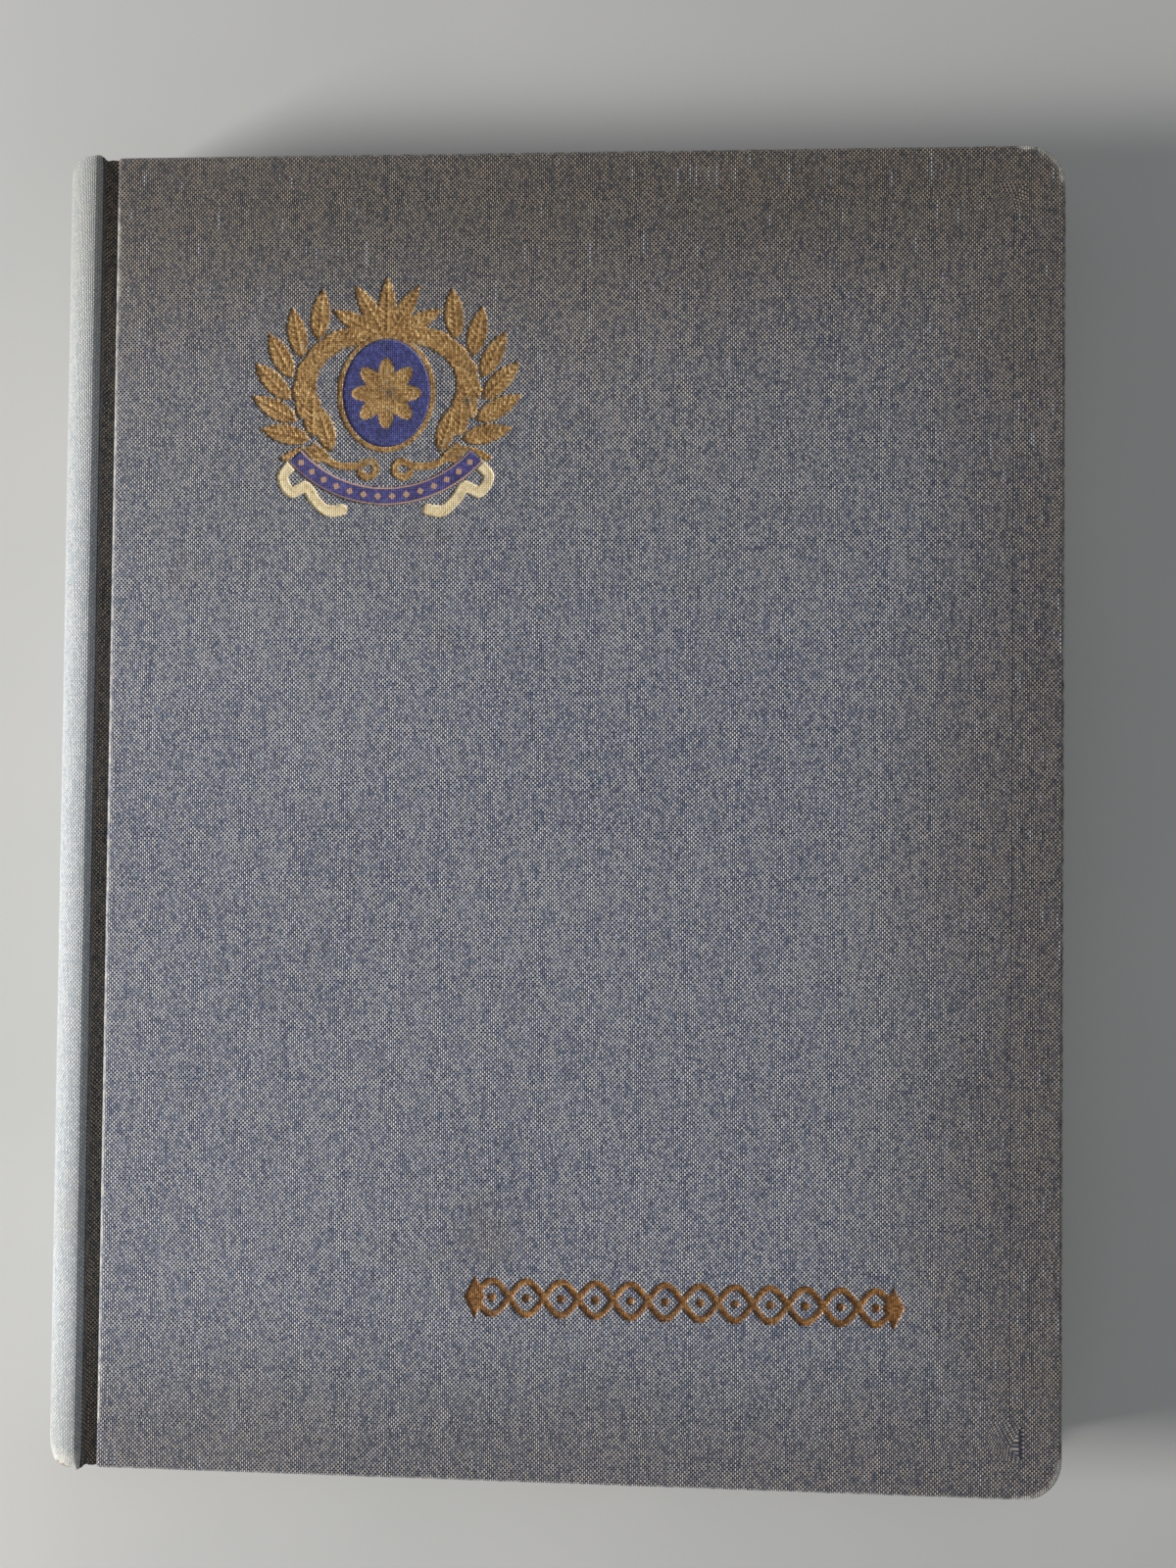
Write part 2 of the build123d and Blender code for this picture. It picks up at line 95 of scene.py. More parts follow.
class Build:
    """Collects points with their place in the weave and their wear, and faces between them."""

    def __init__(self):
        self.points, self.weave, self.wear, self.faces = [], [], [], []

    def add(self, points, weave, wear):
        start = sum(len(p) for p in self.points)
        points = np.asarray(points, float).reshape(-1, 3)
        self.points.append(points)
        self.weave.append(np.broadcast_to(np.asarray(weave, float).reshape(-1, 2), (len(points), 2)))
        self.wear.append(np.broadcast_to(np.asarray(wear, float).reshape(-1), (len(points),)))
        return np.arange(start, start + len(points))

    def grid(self, points, weave, wear, flip=False):
        """Faces over an array of points, rows by columns."""
        rows, columns = np.asarray(points).shape[:2]
        index = self.add(points, weave, wear).reshape(rows, columns)
        self.quads(index, flip)
        return index

    def quads(self, index, flip=False):
        a, b, c, d = index[:-1, :-1], index[1:, :-1], index[1:, 1:], index[:-1, 1:]
        quads = np.stack([a, b, c, d] if not flip else [d, c, b, a], -1).reshape(-1, 4)
        self.faces.extend(map(tuple, quads.tolist()))

    def tube(self, points, weave, count, flip=False):
        """A closed sheet. Each row of points goes round it, the first count of them on its outer face."""
        index = self.grid(points, weave, 0, flip)
        self.quads(index[:, [-1, 0]], flip)
        for row, turned in ((0, flip), (-1, not flip)):
            self.quads(np.stack([index[row, :count], index[row, count:][::-1]]), turned)

    def zip(self, low, high, low_x, high_x, flip=False):
        """Triangles between two rows that have different points along the same line."""
        i = j = 0
        while i < len(low) - 1 or j < len(high) - 1:
            step_low = j == len(high) - 1 or (i < len(low) - 1 and low_x[i + 1] <= high_x[j + 1])
            if step_low:
                face = (low[i], low[i + 1], high[j])
                i += 1
            else:
                face = (low[i], high[j + 1], high[j])
                j += 1
            self.faces.append(tuple(int(k) for k in (face[::-1] if flip else face)))

    def make(self, name, merge=0.0, smooth=35):
        mesh = bpy.data.meshes.new(name)
        mesh.from_pydata(np.concatenate(self.points).tolist(), [], self.faces)
        weave = np.concatenate(self.weave)
        flat = np.column_stack([weave, np.zeros(len(weave))]).astype(np.float32)
        mesh.attributes.new("weave", "FLOAT_VECTOR", "POINT").data.foreach_set("vector", flat.ravel())
        wear = np.concatenate(self.wear).astype(np.float32)
        mesh.attributes.new("wear", "FLOAT", "POINT").data.foreach_set("value", wear)
        if merge:
            work = bmesh.new()
            work.from_mesh(mesh)
            bmesh.ops.remove_doubles(work, verts=work.verts, dist=merge)
            bmesh.ops.dissolve_degenerate(work, edges=work.edges, dist=merge)
            work.to_mesh(mesh)
            work.free()
        obj = bpy.data.objects.new(name, mesh)
        bpy.context.scene.collection.objects.link(obj)
        mesh.shade_smooth()
        mesh.set_sharp_from_angle(angle=radians(smooth))
        return obj


def dress(obj, material):
    obj.data.materials.clear()
    obj.data.materials.append(material)


def swept(ring, ys):
    """The points of a section in X and Z, repeated at each Y."""
    return np.array([np.column_stack([ring[:, 0], np.full(len(ring), y), ring[:, 1]]) for y in ys])


def spaced(start, end, step):
    return np.linspace(start, end, max(2, int(round(abs(end - start) / step)) + 1))


def arc_length(points):
    return np.concatenate([[0], np.cumsum(np.linalg.norm(np.diff(points, axis=0), axis=1))])


def lumpy(u, v, scale, seed):
    """Smooth noise from a few waves, about -1 to 1, with features of about that size in metres."""
    source = np.random.default_rng(seed)
    total = np.zeros(np.broadcast(u, v).shape)
    for _ in range(9):
        turn = source.uniform(0, 2 * pi)
        length = scale * source.uniform(0.6, 1.7)
        phase = source.uniform(0, 2 * pi)
        total += np.sin(2 * pi * (u * cos(turn) + v * sin(turn)) / length + phase)
    return total / 4.5


# The crest and the title rule, as distances in mm. Inside is negative. Relief is raised from the floor.

OVAL = (10.4, 12.8)
RIM_W = 1.3
WREATH = (22.5, 17.5)
RIBBON_R, RIBBON_W, RIBBON_DROP, RIBBON_HALF = 29.0, 4.4, 24.4, 48.0
TAIL_W = 2.8
TAIL_ROUTE = [
    (21.9, -16.6), (24.4, -19.8), (22.4, -23.4), (18.9, -22.2), (16.9, -25.0), (13.8, -27.8), (10.2, -27.6)
]
SCROLL_W = 1.8
SCROLL_ROUTE = [
    (17.0, -12.6), (12.6, -16.6), (7.4, -17.4), (3.4, -16.2), (2.2, -18.6), (4.4, -20.0), (6.0, -18.9)
]
LEAF_STALK = 0.5
LEAF_PAIRS, FIRST_PAIR, PAIR_STEP, LEAN = 7, -56.0, 16.5, 38.0
LEAF_L, LEAF_SHAPE = 12.5, 0.38
FAN_LEAVES, FAN_STEP, FAN_L, FAN_SHAPE = 5, 31.0, 14.5, 0.3
PETALS, PETAL_RX, PETAL_RY, EYE_R = 8, 4.2, 2.0, 1.5
# Each leaf: its foot, its heading, its length and the share of that which is its width.
LEAVES = []
for n in range(LEAF_PAIRS):
    turn = FIRST_PAIR + n * PAIR_STEP
    foot = (WREATH[0] * cos(radians(turn)), WREATH[1] * sin(radians(turn)))
    for lean in (-LEAN, LEAN):
        LEAVES.append((foot, turn + 90 + lean, LEAF_L, LEAF_SHAPE))
        LEAVES.append(((-foot[0], foot[1]), 90 - turn - lean, LEAF_L, LEAF_SHAPE))
LEAVES += [((0, OVAL[1]), 90 + (n - FAN_LEAVES // 2) * FAN_STEP, FAN_L, FAN_SHAPE) for n in range(FAN_LEAVES)]


def smooth_path(points, per=12):
    """A Catmull-Rom line through the points."""
    p = np.array([points[0], *points, points[-1]], float)
    out = []
    for k in range(1, len(p) - 2):
        for t in np.linspace(0, 1, per, endpoint=False):
            a, b, c, d = p[k - 1], p[k], p[k + 1], p[k + 2]
            curve = 2 * b + (c - a) * t + (2 * a - 5 * b + 4 * c - d) * t * t
            out.append(0.5 * (curve + (3 * b - a - 3 * c + d) * t ** 3))
    out.append(p[-2])
    return np.array(out)


def path_distance(x, y, path):
    """Distance of each point from a line of many short runs."""
    best = np.full(x.shape, 1e9)
    for a, b in zip(path[:-1], path[1:]):
        d = b - a
        t = np.clip(((x - a[0]) * d[0] + (y - a[1]) * d[1]) / (d @ d), 0, 1)
        best = np.minimum(best, np.hypot(x - a[0] - t * d[0], y - a[1] - t * d[1]))
    return best


def ellipse_distance(x, y, rx, ry):
    """Distance of each point from an ellipse round the origin, near enough close to it."""
    k = np.hypot(x / rx, y / ry)
    return k * (k - 1) / np.maximum(np.hypot(x / rx ** 2, y / ry ** 2), 1e-6)


def leaf_shape(x, y, foot, heading, length, shape):
    """Distance of each point from one scalloped leaf, and the leaf's relief with its midrib and veins."""
    c, s = cos(radians(heading)), sin(radians(heading))
    along = (x - foot[0]) * c + (y - foot[1]) * s - LEAF_STALK
    across = (y - foot[1]) * c - (x - foot[0]) * s
    share = np.clip(along / length, 0, 1)
    half = 0.5 * shape * length * np.interp(
        share, [0, 0.08, 0.2, 0.35, 0.5, 0.65, 0.8, 0.92, 1], [0, 0.45, 0.8, 0.97, 1, 0.88, 0.62, 0.3, 0]
    )
    half = np.maximum(half + 0.16 * np.cos(2 * pi * along / 1.7) * (half > 0.7), 0)
    beyond = np.maximum(np.maximum(-along, along - length), 0)
    distance = np.hypot(np.maximum(np.abs(across) - half, 0), beyond)
    distance = np.where((np.abs(across) < half) & (beyond == 0), np.abs(across) - half, distance)
    near = np.clip(1 - np.abs(across) / np.maximum(half, 1e-3), 0, 1)
    relief = 0.26 * np.sqrt(near * (2 - near)) * np.minimum(1, 3 * share + 0.1) * (1 - 0.35 * share)
    relief -= 0.17 * np.exp(-(across / 0.3) ** 2) * np.minimum(1, 3 * near)
    relief += 0.06 * np.sin(2 * pi * (along - 0.9 * np.abs(across)) / 1.3) * np.minimum(1, 3 * near)
    return distance, np.where(distance < 0, relief, 0)


def crest_shapes(x, y):
    """Distance of each part of the crest and its relief, in mm, at points relative to the oval's centre."""
    gilt = np.full(x.shape, 1e3)
    relief = np.zeros(x.shape)
    for foot, heading, length, shape in LEAVES:
        distance, raised = leaf_shape(x, y, foot, heading, length, shape)
        gilt = np.minimum(gilt, distance)
        relief = np.maximum(relief, raised)
    for side in (-1, 1):
        scroll = path_distance(x, y, smooth_path([(side * a, b) for a, b in SCROLL_ROUTE])) - SCROLL_W / 2
        gilt = np.minimum(gilt, scroll)
        round_top = 0.24 * np.sqrt(np.clip(-scroll / (SCROLL_W / 2), 0, 1))
        relief = np.where(scroll < 0, np.maximum(relief, round_top), relief)
    rim_out = ellipse_distance(x, y, OVAL[0] + RIM_W, OVAL[1] + RIM_W)
    field = ellipse_distance(x, y, *OVAL)
    rim = np.maximum(rim_out, -field)
    around = np.arctan2(y / OVAL[1], x / OVAL[0])
    beads = 0.55 + 0.45 * np.abs(np.cos(22 * around))
    relief = np.where(rim_out < 0, 0, relief)
    relief = np.where(rim < 0, 0.2 * np.sqrt(np.clip(-rim / (RIM_W / 2), 0, 1)) * beads, relief)
    gilt = np.maximum(np.minimum(gilt, rim_out), -field)
    petals = np.full(x.shape, 1e3)
    for n in range(PETALS):
        turn = radians(360 / PETALS * n)
        along, across = x * cos(turn) + y * sin(turn), y * cos(turn) - x * sin(turn)
        petal = ellipse_distance(along - PETAL_RX, across, PETAL_RX, PETAL_RY)
        petals = np.minimum(petals, petal)
        dome = np.sqrt(np.clip(-petal / PETAL_RY, 0, 1)) * 0.2 - 0.07 * np.exp(-(across / 0.3) ** 2)
        relief = np.where(petal < 0, np.maximum(relief, dome), relief)
    eye = np.hypot(x, y) - EYE_R
    relief = np.where(eye < 0, 0.24 * np.sqrt(np.clip(-eye / EYE_R, 0, 1)), relief)
    radius = np.hypot(x, y - (RIBBON_R - RIBBON_DROP))
    turn = np.degrees(np.arctan2(x, -(y - (RIBBON_R - RIBBON_DROP))))
    beyond = (np.abs(turn) - RIBBON_HALF) * np.pi / 180 * RIBBON_R
    band = np.maximum(np.abs(radius - RIBBON_R) - RIBBON_W / 2, beyond)
    tails = np.full(x.shape, 1e3)
    for side in (-1, 1):
        route = smooth_path([(side * a, b) for a, b in TAIL_ROUTE])
        tails = np.minimum(tails, path_distance(x, y, route) - TAIL_W / 2)
    tails = np.maximum(tails, -band)
    gilt = np.maximum(gilt, -np.minimum(band, tails))
    relief = np.where(tails < 0, 0.16 * np.sqrt(np.clip(-tails / 1.2, 0, 1)), relief)
    relief = np.where(band < 0, 0.10 * np.sqrt(np.clip(-band / 0.5, 0, 1)), relief)
    edge = np.clip(1 - np.abs(np.abs(radius - RIBBON_R) - (RIBBON_W / 2 - 0.35)) / 0.3, 0, 1)
    slide = (turn / 180 * np.pi * RIBBON_R) % 3.4 - 1.7
    studs = np.clip(1.6 - (np.abs(slide) + np.abs(radius - RIBBON_R)) / 0.75, 0, 1)
    lines = np.where(band < 0, np.maximum(edge, studs), 0)
    whole = np.minimum(np.minimum(gilt, field), np.minimum(band, tails))
    return {
        "whole": whole, "gilt": gilt, "petals": petals, "field": np.maximum(field, -petals),
        "band": band, "tails": tails, "relief": relief, "lines": lines,
    }


EYES, EYE_L, WAVE_H, LINE_W, BEAD_R = 12, 8.0, 3.8, 1.6, 1.0
LOZENGE_X, LOZENGE_Y = 2.5, 5.0


def title_shapes(x, y):
    """Distance from the title rule: two waves that cross, a bead in each eye, a lozenge at each end."""
    start = -EYES * EYE_L / 2
    whole = np.full(x.shape, 1e3)
    for way in (-1, 1):
        stations = np.linspace(start, -start, EYES * 12 + 1)
        wave = np.column_stack([stations, way * WAVE_H * np.sin(pi * (stations - start) / EYE_L)])
        whole = np.minimum(whole, path_distance(x, y, wave) - LINE_W / 2)
        lozenge = (np.abs(x - way * start) / LOZENGE_X + np.abs(y) / LOZENGE_Y - 1) * 2.24
        whole = np.minimum(whole, lozenge)
    for n in range(EYES):
        whole = np.minimum(whole, np.hypot(x - start - (n + 0.5) * EYE_L, y) - BEAD_R)
    return {"whole": whole, "relief": np.zeros(x.shape)}


PRESSED = 0.36  # mm, depth of the ornaments' floor
SHOULDER = 0.32  # mm, width of the slope down to it


def pressed(shapes):
    """Depth in metres of the cloth under the cover's face."""
    t = np.clip((0.10 - shapes["whole"]) / SHOULDER, 0, 1)
    floor = PRESSED * t * t * (3 - 2 * t)
    return (floor - np.clip(shapes["relief"], 0, 0.3) * t) * MM


# Covers

FINE = 0.25 * MM  # between the lines of the mesh where the ornaments are
BORDER = 12 * MM
EDGE_R = 1.0 * MM
WALL_WAVE = 0.05 * MM
FOIL_LIFT = 0.04 * MM
ROLL_R = 1.15 * MM
CREST_SPAN = (-33.5, 33.5, -31.0, 29.5)
TITLE_SPAN = (-52.0, 52.0, -6.5, 6.5)


def fine_lines(low, high, fine_low, fine_high, step):
    """Lines from low to high that are close together between the two fine ends."""
    return np.concatenate([
        spaced(low, fine_low, step)[:-1],
        spaced(fine_low, fine_high, FINE)[:-1],
        spaced(fine_high, high, step),
    ])


def edge_profile():
    """Inset, depth and place in the weave, from the outer face round the edge to the turned-in end."""
    rows = [(d * MM, 0, d * MM) for d in (12, 9, 6, 4, 2.5, 1.6)]
    arc = [radians(a) for a in range(0, 91, 15)]
    start = EDGE_R
    rows += [(EDGE_R - EDGE_R * sin(a), EDGE_R - EDGE_R * cos(a), start - EDGE_R * a) for a in arc]
    start -= EDGE_R * pi / 2
    flat = COVER_T - 2 * EDGE_R
    rows += [
        (EDGE_R - EDGE_R * cos(a), EDGE_R + flat + EDGE_R * sin(a), start - flat - EDGE_R * a) for a in arc
    ]
    start -= flat + EDGE_R * pi / 2
    rows += [(d * MM, COVER_T, start - (d - 1) * MM) for d in (2.5, 4.5, 8, 15)]
    rows.append((15 * MM, COVER_T - CLOTH_T, start - 14.4 * MM))
    return np.array(rows)


def roll_columns():
    """X, depth and place in the weave round the board's edge at the groove."""
    outer = BOARD_X - CLOTH_T
    rows = [(outer, ROLL_R + 0.35 * MM, outer + ROLL_R - ROLL_R * pi / 2 - 0.35 * MM)]
    for a in range(0, 91, 15):
        turn = radians(a)
        rows.append(
            (
                outer + ROLL_R * (1 - cos(turn)),
                ROLL_R * (1 - sin(turn)),
                outer + ROLL_R - ROLL_R * (pi / 2 - turn),
            )
        )
    return np.array(rows)


def make_cover_cloth(name, body, front):
    roll = roll_columns()
    profile = edge_profile()
    inner_x, inner_y = FORE_X - BORDER, HALF_H - BORDER
    first_x = roll[-1, 0] + 1.5 * MM

    def columns(lines):
        flat = np.column_stack([lines, np.zeros(len(lines)), lines])
        return np.vstack([roll, flat])

    coarse = columns(spaced(first_x, inner_x, 5 * MM))
    bands = [(spaced(-inner_y, inner_y, 5 * MM), coarse, None)]
    if front:
        t0, t1 = TITLE[1] + TITLE_SPAN[2] * MM, TITLE[1] + TITLE_SPAN[3] * MM
        c0, c1 = CREST[1] + CREST_SPAN[2] * MM, CREST[1] + CREST_SPAN[3] * MM
        title = columns(
            fine_lines(
                first_x, inner_x, TITLE[0] + TITLE_SPAN[0] * MM, TITLE[0] + TITLE_SPAN[1] * MM, 5 * MM
            )
        )
        crest = columns(
            fine_lines(
                first_x, inner_x, CREST[0] + CREST_SPAN[0] * MM, CREST[0] + CREST_SPAN[1] * MM, 5 * MM
            )
        )
        bands = [
            (spaced(-inner_y, t0 - 2 * MM, 5 * MM), coarse, None),
            (spaced(t0, t1, FINE), title, (title_shapes, TITLE)),
            (spaced(t1 + 2 * MM, c0 - 2 * MM, 5 * MM), coarse, None),
            (spaced(c0, c1, FINE), crest, (crest_shapes, CREST)),
            (spaced(c1 + 2 * MM, inner_y, 5 * MM), coarse, None),
        ]
    build = Build()

    def place(x, y, depth):
        z = ALBUM_T - depth if front else depth
        return np.stack(np.broadcast_arrays(x, y, z), -1)

    before = None
    for ys, cols, ornament in bands:
        x, y = np.meshgrid(cols[:, 0], ys)
        depth = np.broadcast_to(cols[:, 1], x.shape).copy()
        if ornament:
            shapes, centre = ornament
            depth += pressed(shapes((x - centre[0]) / MM, (y - centre[1]) / MM))
        u = np.broadcast_to(cols[:, 2], x.shape)
        # A pale line along the board's edge at the groove: partly rubbing, partly a painted highlight where
        # the edge's shoulder catches the light.
        wear = 0.6 * np.exp(-((u - BOARD_X - 0.1 * MM) / (0.9 * MM)) ** 2)
        index = build.grid(place(x, y, depth), np.stack([u, y], -1), wear.ravel(), flip=front)
        if before is not None:
            build.zip(before[0], index[0], before[1][:, 2], cols[:, 2], flip=not front)
        before = (index[-1], cols)
    ys = np.concatenate([band[0] for band in bands])

    # The border: along the tail, round its corner, up the fore-edge, round the head's corner and back.
    stations = []
    inset, drop, along = profile.T
    edge_wear = np.exp(-((along + 0.2 * MM) / (1.0 * MM)) ** 2)
    for side in (-1, 1):
        run = []
        for cx, cdepth, cu in coarse:
            depth = drop + cdepth * (1 - drop / COVER_T)
            amount = (0.85 if side < 0 else 0.7) * edge_wear
            run.append((place(np.full(len(inset), cx), side * (HALF_H - inset), depth),
                        np.column_stack([np.full(len(inset), cu), side * (HALF_H - along)]), amount))
        for a in np.radians(np.arange(0, 91, 9)):
            radius = np.maximum(CORNER_R - inset, 0)
            hub = np.maximum(CORNER_R, inset)
            points = place(FORE_X - hub + radius * sin(a), side * (HALF_H - hub + radius * cos(a)), drop)
            reach = CORNER_R - along
            weave = np.column_stack(
                [FORE_X - CORNER_R + reach * sin(a), side * (HALF_H - CORNER_R + reach * cos(a))]
            )
            run.append((points, weave, 1.25 * np.exp(-((along + 0.2 * MM) / (1.7 * MM)) ** 2)))
        stations.append(run)
    fore = [(place(FORE_X - inset, np.full(len(inset), y), drop),
             np.column_stack([FORE_X - along, np.full(len(inset), y)]), 0.8 * edge_wear) for y in ys]
    path = stations[0] + fore + stations[1][::-1]
    points, weave, wear = (np.array([s[k] for s in path]) for k in range(3))
    # The walls bulge a little, and the edges are worn uneven.
    waves = lumpy(points[..., 0], points[..., 1], 22 * MM, 3 if front else 4)
    on_wall = (drop[None, :] > 0) * (drop[None, :] < COVER_T / 2)
    points[..., 2] += (-1 if front else 1) * WALL_WAVE * waves * on_wall
    build.grid(points, weave, wear.ravel(), flip=not front)
    obj = build.make(name, merge=2e-6)
    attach(obj, body)
    return obj


def foil(name, distance, shapes, columns, rows, lines=None):
    """The part of the crest's grid inside one outline, on the pressed cloth."""
    x, y = np.meshgrid(columns, rows)
    step = FINE / MM
    grad_y, grad_x = np.gradient(distance, step)
    size = np.maximum(np.hypot(grad_x, grad_y), 0.3)
    inside = distance < step * 0.5
    over = np.where(inside & (distance > -step * 0.5), distance + 0.03, 0)
    x = x - over * grad_x / size ** 2 * MM
    y = y - over * grad_y / size ** 2 * MM
    height = ALBUM_T - pressed(shapes) + FOIL_LIFT
    build = Build()
    wear = lines if lines is not None else np.zeros(x.shape)
    index = build.add(
        np.stack([x, y, height], -1), np.stack([x, y], -1).reshape(-1, 2), wear.ravel()
    ).reshape(x.shape)
    whole = inside[:-1, :-1] & inside[1:, :-1] & inside[1:, 1:] & inside[:-1, 1:]
    quads = np.stack([index[:-1, :-1], index[:-1, 1:], index[1:, 1:], index[1:, :-1]], -1)[whole]
    build.faces.extend(map(tuple, quads.tolist()))
    obj = build.make(name, smooth=60)
    work = bmesh.new()
    work.from_mesh(obj.data)
    bmesh.ops.delete(work, geom=[v for v in work.verts if not v.link_faces], context="VERTS")
    work.to_mesh(obj.data)
    work.free()
    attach(obj, "front_cover")
    return obj


# Spine

SPINE_ENDS = HALF_H + 0.5 * MM
RIDGE_X = spine_hi.x
CROWN_W = 1.4 * MM
CROWN_X = RIDGE_X - CROWN_W
SPINE_Z = (spine_lo.z + spine_hi.z) / 2
SPINE_TOP = spine_hi.z
BEND_R = 1.75 * MM  # from the crown down into the groove
TAIL_WORN = 6.5 * MM


def spine_line(depth, count=40, reach=10):
    """The section of the spine at some depth under its face, from the front groove to the back one."""
    rx = CROWN_X - spine_lo.x - depth
    rz = SPINE_TOP - SPINE_Z - depth
    turns = np.radians(np.linspace(90, 270, count))
    curve = np.column_stack([CROWN_X + rx * np.cos(turns), SPINE_Z + rz * np.sin(turns)])
    bend = BEND_R - depth
    turns = np.radians(np.arange(reach, 90, 10))
    first = np.column_stack([CROWN_X + bend * np.cos(turns), SPINE_TOP - BEND_R + bend * np.sin(turns)])
    last = first[::-1] * (1, -1) + (0, 2 * SPINE_Z)
    return np.vstack([first, curve, last])


def make_spine_cloth():
    """The cloth on the spine, down into the grooves at its sides and rolled over the strip at its ends."""
    section = spine_line(0, 48, 0)
    section = np.vstack([section[:1] - (0, 0.6 * MM), section, section[-1:] + (0, 0.6 * MM)])
    across = arc_length(section)
    across -= across[len(across) // 2]
    tangent = np.gradient(section, axis=0)
    tangent /= np.linalg.norm(tangent, axis=1)[:, None]
    inward = np.column_stack([-tangent[:, 1], tangent[:, 0]])
    if inward[len(inward) // 2, 0] < 0:
        inward = -inward
    turn = 0.95 * MM
    ys = spaced(-SPINE_ENDS + 14 * MM, SPINE_ENDS - 14 * MM, 4 * MM)
    near = [14, 11, 8, 6, 5, 4, 3, 2.4, 1.8, 1.3]
    rows = [(-SPINE_ENDS + d * MM, 0.0) for d in near[::-1]] + [(y, 0.0) for y in ys[1:-1]]
    rows += [(SPINE_ENDS - d * MM, 0.0) for d in near]
    roll_in = np.radians(np.arange(0, 181, 20))
    head = [(SPINE_ENDS - turn + turn * sin(a), turn * (1 - cos(a))) for a in roll_in]
    inside = [(SPINE_ENDS - turn - 6 * MM, 2 * turn), (SPINE_ENDS - turn - 12 * MM, 2 * turn)]
    tail = [(-y, inset) for y, inset in (head + inside)[::-1]]
    rows = np.array(tail + rows + head + inside)
    length = arc_length(rows)
    length -= length[len(length) // 2]
    points = np.zeros((len(rows), len(section), 3))
    wear = np.zeros(points.shape[:2])
    outwards = np.clip((CROWN_X - section[:, 0]) / (CROWN_X - spine_lo.x), 0, 1)
    for k, (y, inset) in enumerate(rows):
        from_tail, from_head = y + SPINE_ENDS, SPINE_ENDS - y
        cap = 1 - np.sqrt(max(0.0, 1 - max(0.0, 1 - min(from_tail, from_head) / (3.4 * MM)) ** 2))
        worn = max(0.0, 1 - from_tail / TAIL_WORN) ** 0.7 if inset < turn * 1.5 else 0.6
        worn_head = max(0.0, 1 - from_head / (3.0 * MM))
        bevel = 0.55 * MM * max(0.0, 1 - from_tail / TAIL_WORN) ** 1.6
        scuff = lumpy(across, np.full(len(across), y), 7 * MM, 11) * 0.12 * MM * worn
        # Nothing is turned in further than the strip's inner face.
        depth = np.minimum(inset + bevel + scuff * (inset < turn), 2 * turn + 0.02 * MM)
        flanks = np.clip((section[:, 0] - CROWN_X) / CROWN_W, 0, 1)
        depth = depth * (1 - 0.75 * flanks) + cap * (0.35 + 1.5 * outwards) * MM
        points[k] = np.column_stack(
            [
                section[:, 0] + inward[:, 0] * depth,
                np.full(len(section), y),
                section[:, 1] + inward[:, 1] * depth,
            ]
        )
        wear[k] = np.clip(1.1 * worn + 0.8 * worn_head ** 2, 0, 1)
    build = Build()
    u, v = np.meshgrid(across, length)
    build.grid(points, np.stack([u, v], -1), wear.ravel())
    return build.make("spine_cloth_weave")


def make_spine_layer(name, depth, thickness, ends):
    """A closed layer under the spine's cloth."""
    outer, inner = spine_line(depth), spine_line(depth + thickness)
    ring = np.vstack([outer, inner[::-1]])
    around = arc_length(ring)
    ys = spaced(-ends, ends, 12 * MM)
    build = Build()
    u, v = np.meshgrid(around, ys)
    build.tube(swept(ring, ys), np.stack([u, v], -1), len(outer))
    return build.make(name)


# Grooves

GROOVE_D = 2.4 * MM


def make_joint_cloth(name, front):
    """The cloth from the ridge's flank, through the groove and up the board's edge."""
    top = ALBUM_T
    floor = top - GROOVE_D
    left, right = RIDGE_X + CLOTH_T, BOARD_X - CLOTH_T
    radius = ROLL_R
    turns = np.radians(np.arange(0, 91, 15))
    line = [(left, top - 0.35 * MM), (left, top - 0.8 * MM)]
    line += [(left + radius * (1 - cos(a)), floor + radius * (1 - sin(a))) for a in turns]
    line += [(right - radius * (1 - sin(a)), floor + radius * (1 - cos(a))) for a in turns]
    line += [(right, top - ROLL_R - 0.1 * MM)]
    line = np.array(line)
    tangent = np.gradient(line, axis=0)
    tangent /= np.linalg.norm(tangent, axis=1)[:, None]
    under = np.column_stack([tangent[:, 1], -tangent[:, 0]])
    inner = line + under * CLOTH_T
    inner[:, 0] = np.clip(inner[:, 0], RIDGE_X, BOARD_X)
    ring = np.vstack([line, inner[::-1]])
    across = np.concatenate([arc_length(line), arc_length(line)[::-1]])
    near_end = -HALF_H + np.array([0, 0.3, 0.8, 1.6, 2.6, 4.0, 6.0]) * MM
    ys = np.concatenate([near_end, spaced(-HALF_H + 9 * MM, HALF_H - 9 * MM, 5 * MM), -near_end[::-1]])
    points = swept(ring, ys)
    sag = lumpy(points[..., 0], points[..., 1], 30 * MM, 21) * 0.08 * MM
    turn_in = 1.0 * MM * np.exp(-((HALF_H - np.abs(points[..., 1])) / (3.0 * MM)) ** 2)
    middle = np.exp(-((points[..., 0] - (left + right) / 2) / (1.1 * MM)) ** 2)
    points[..., 2] += (sag + turn_in) * middle
    if not front:
        points[..., 2] = ALBUM_T - points[..., 2]
    build = Build()
    u, v = np.meshgrid(across + RIDGE_X, ys)
    build.tube(points, np.stack([u, v], -1), len(line), flip=not front)
    return build.make(name, smooth=50)


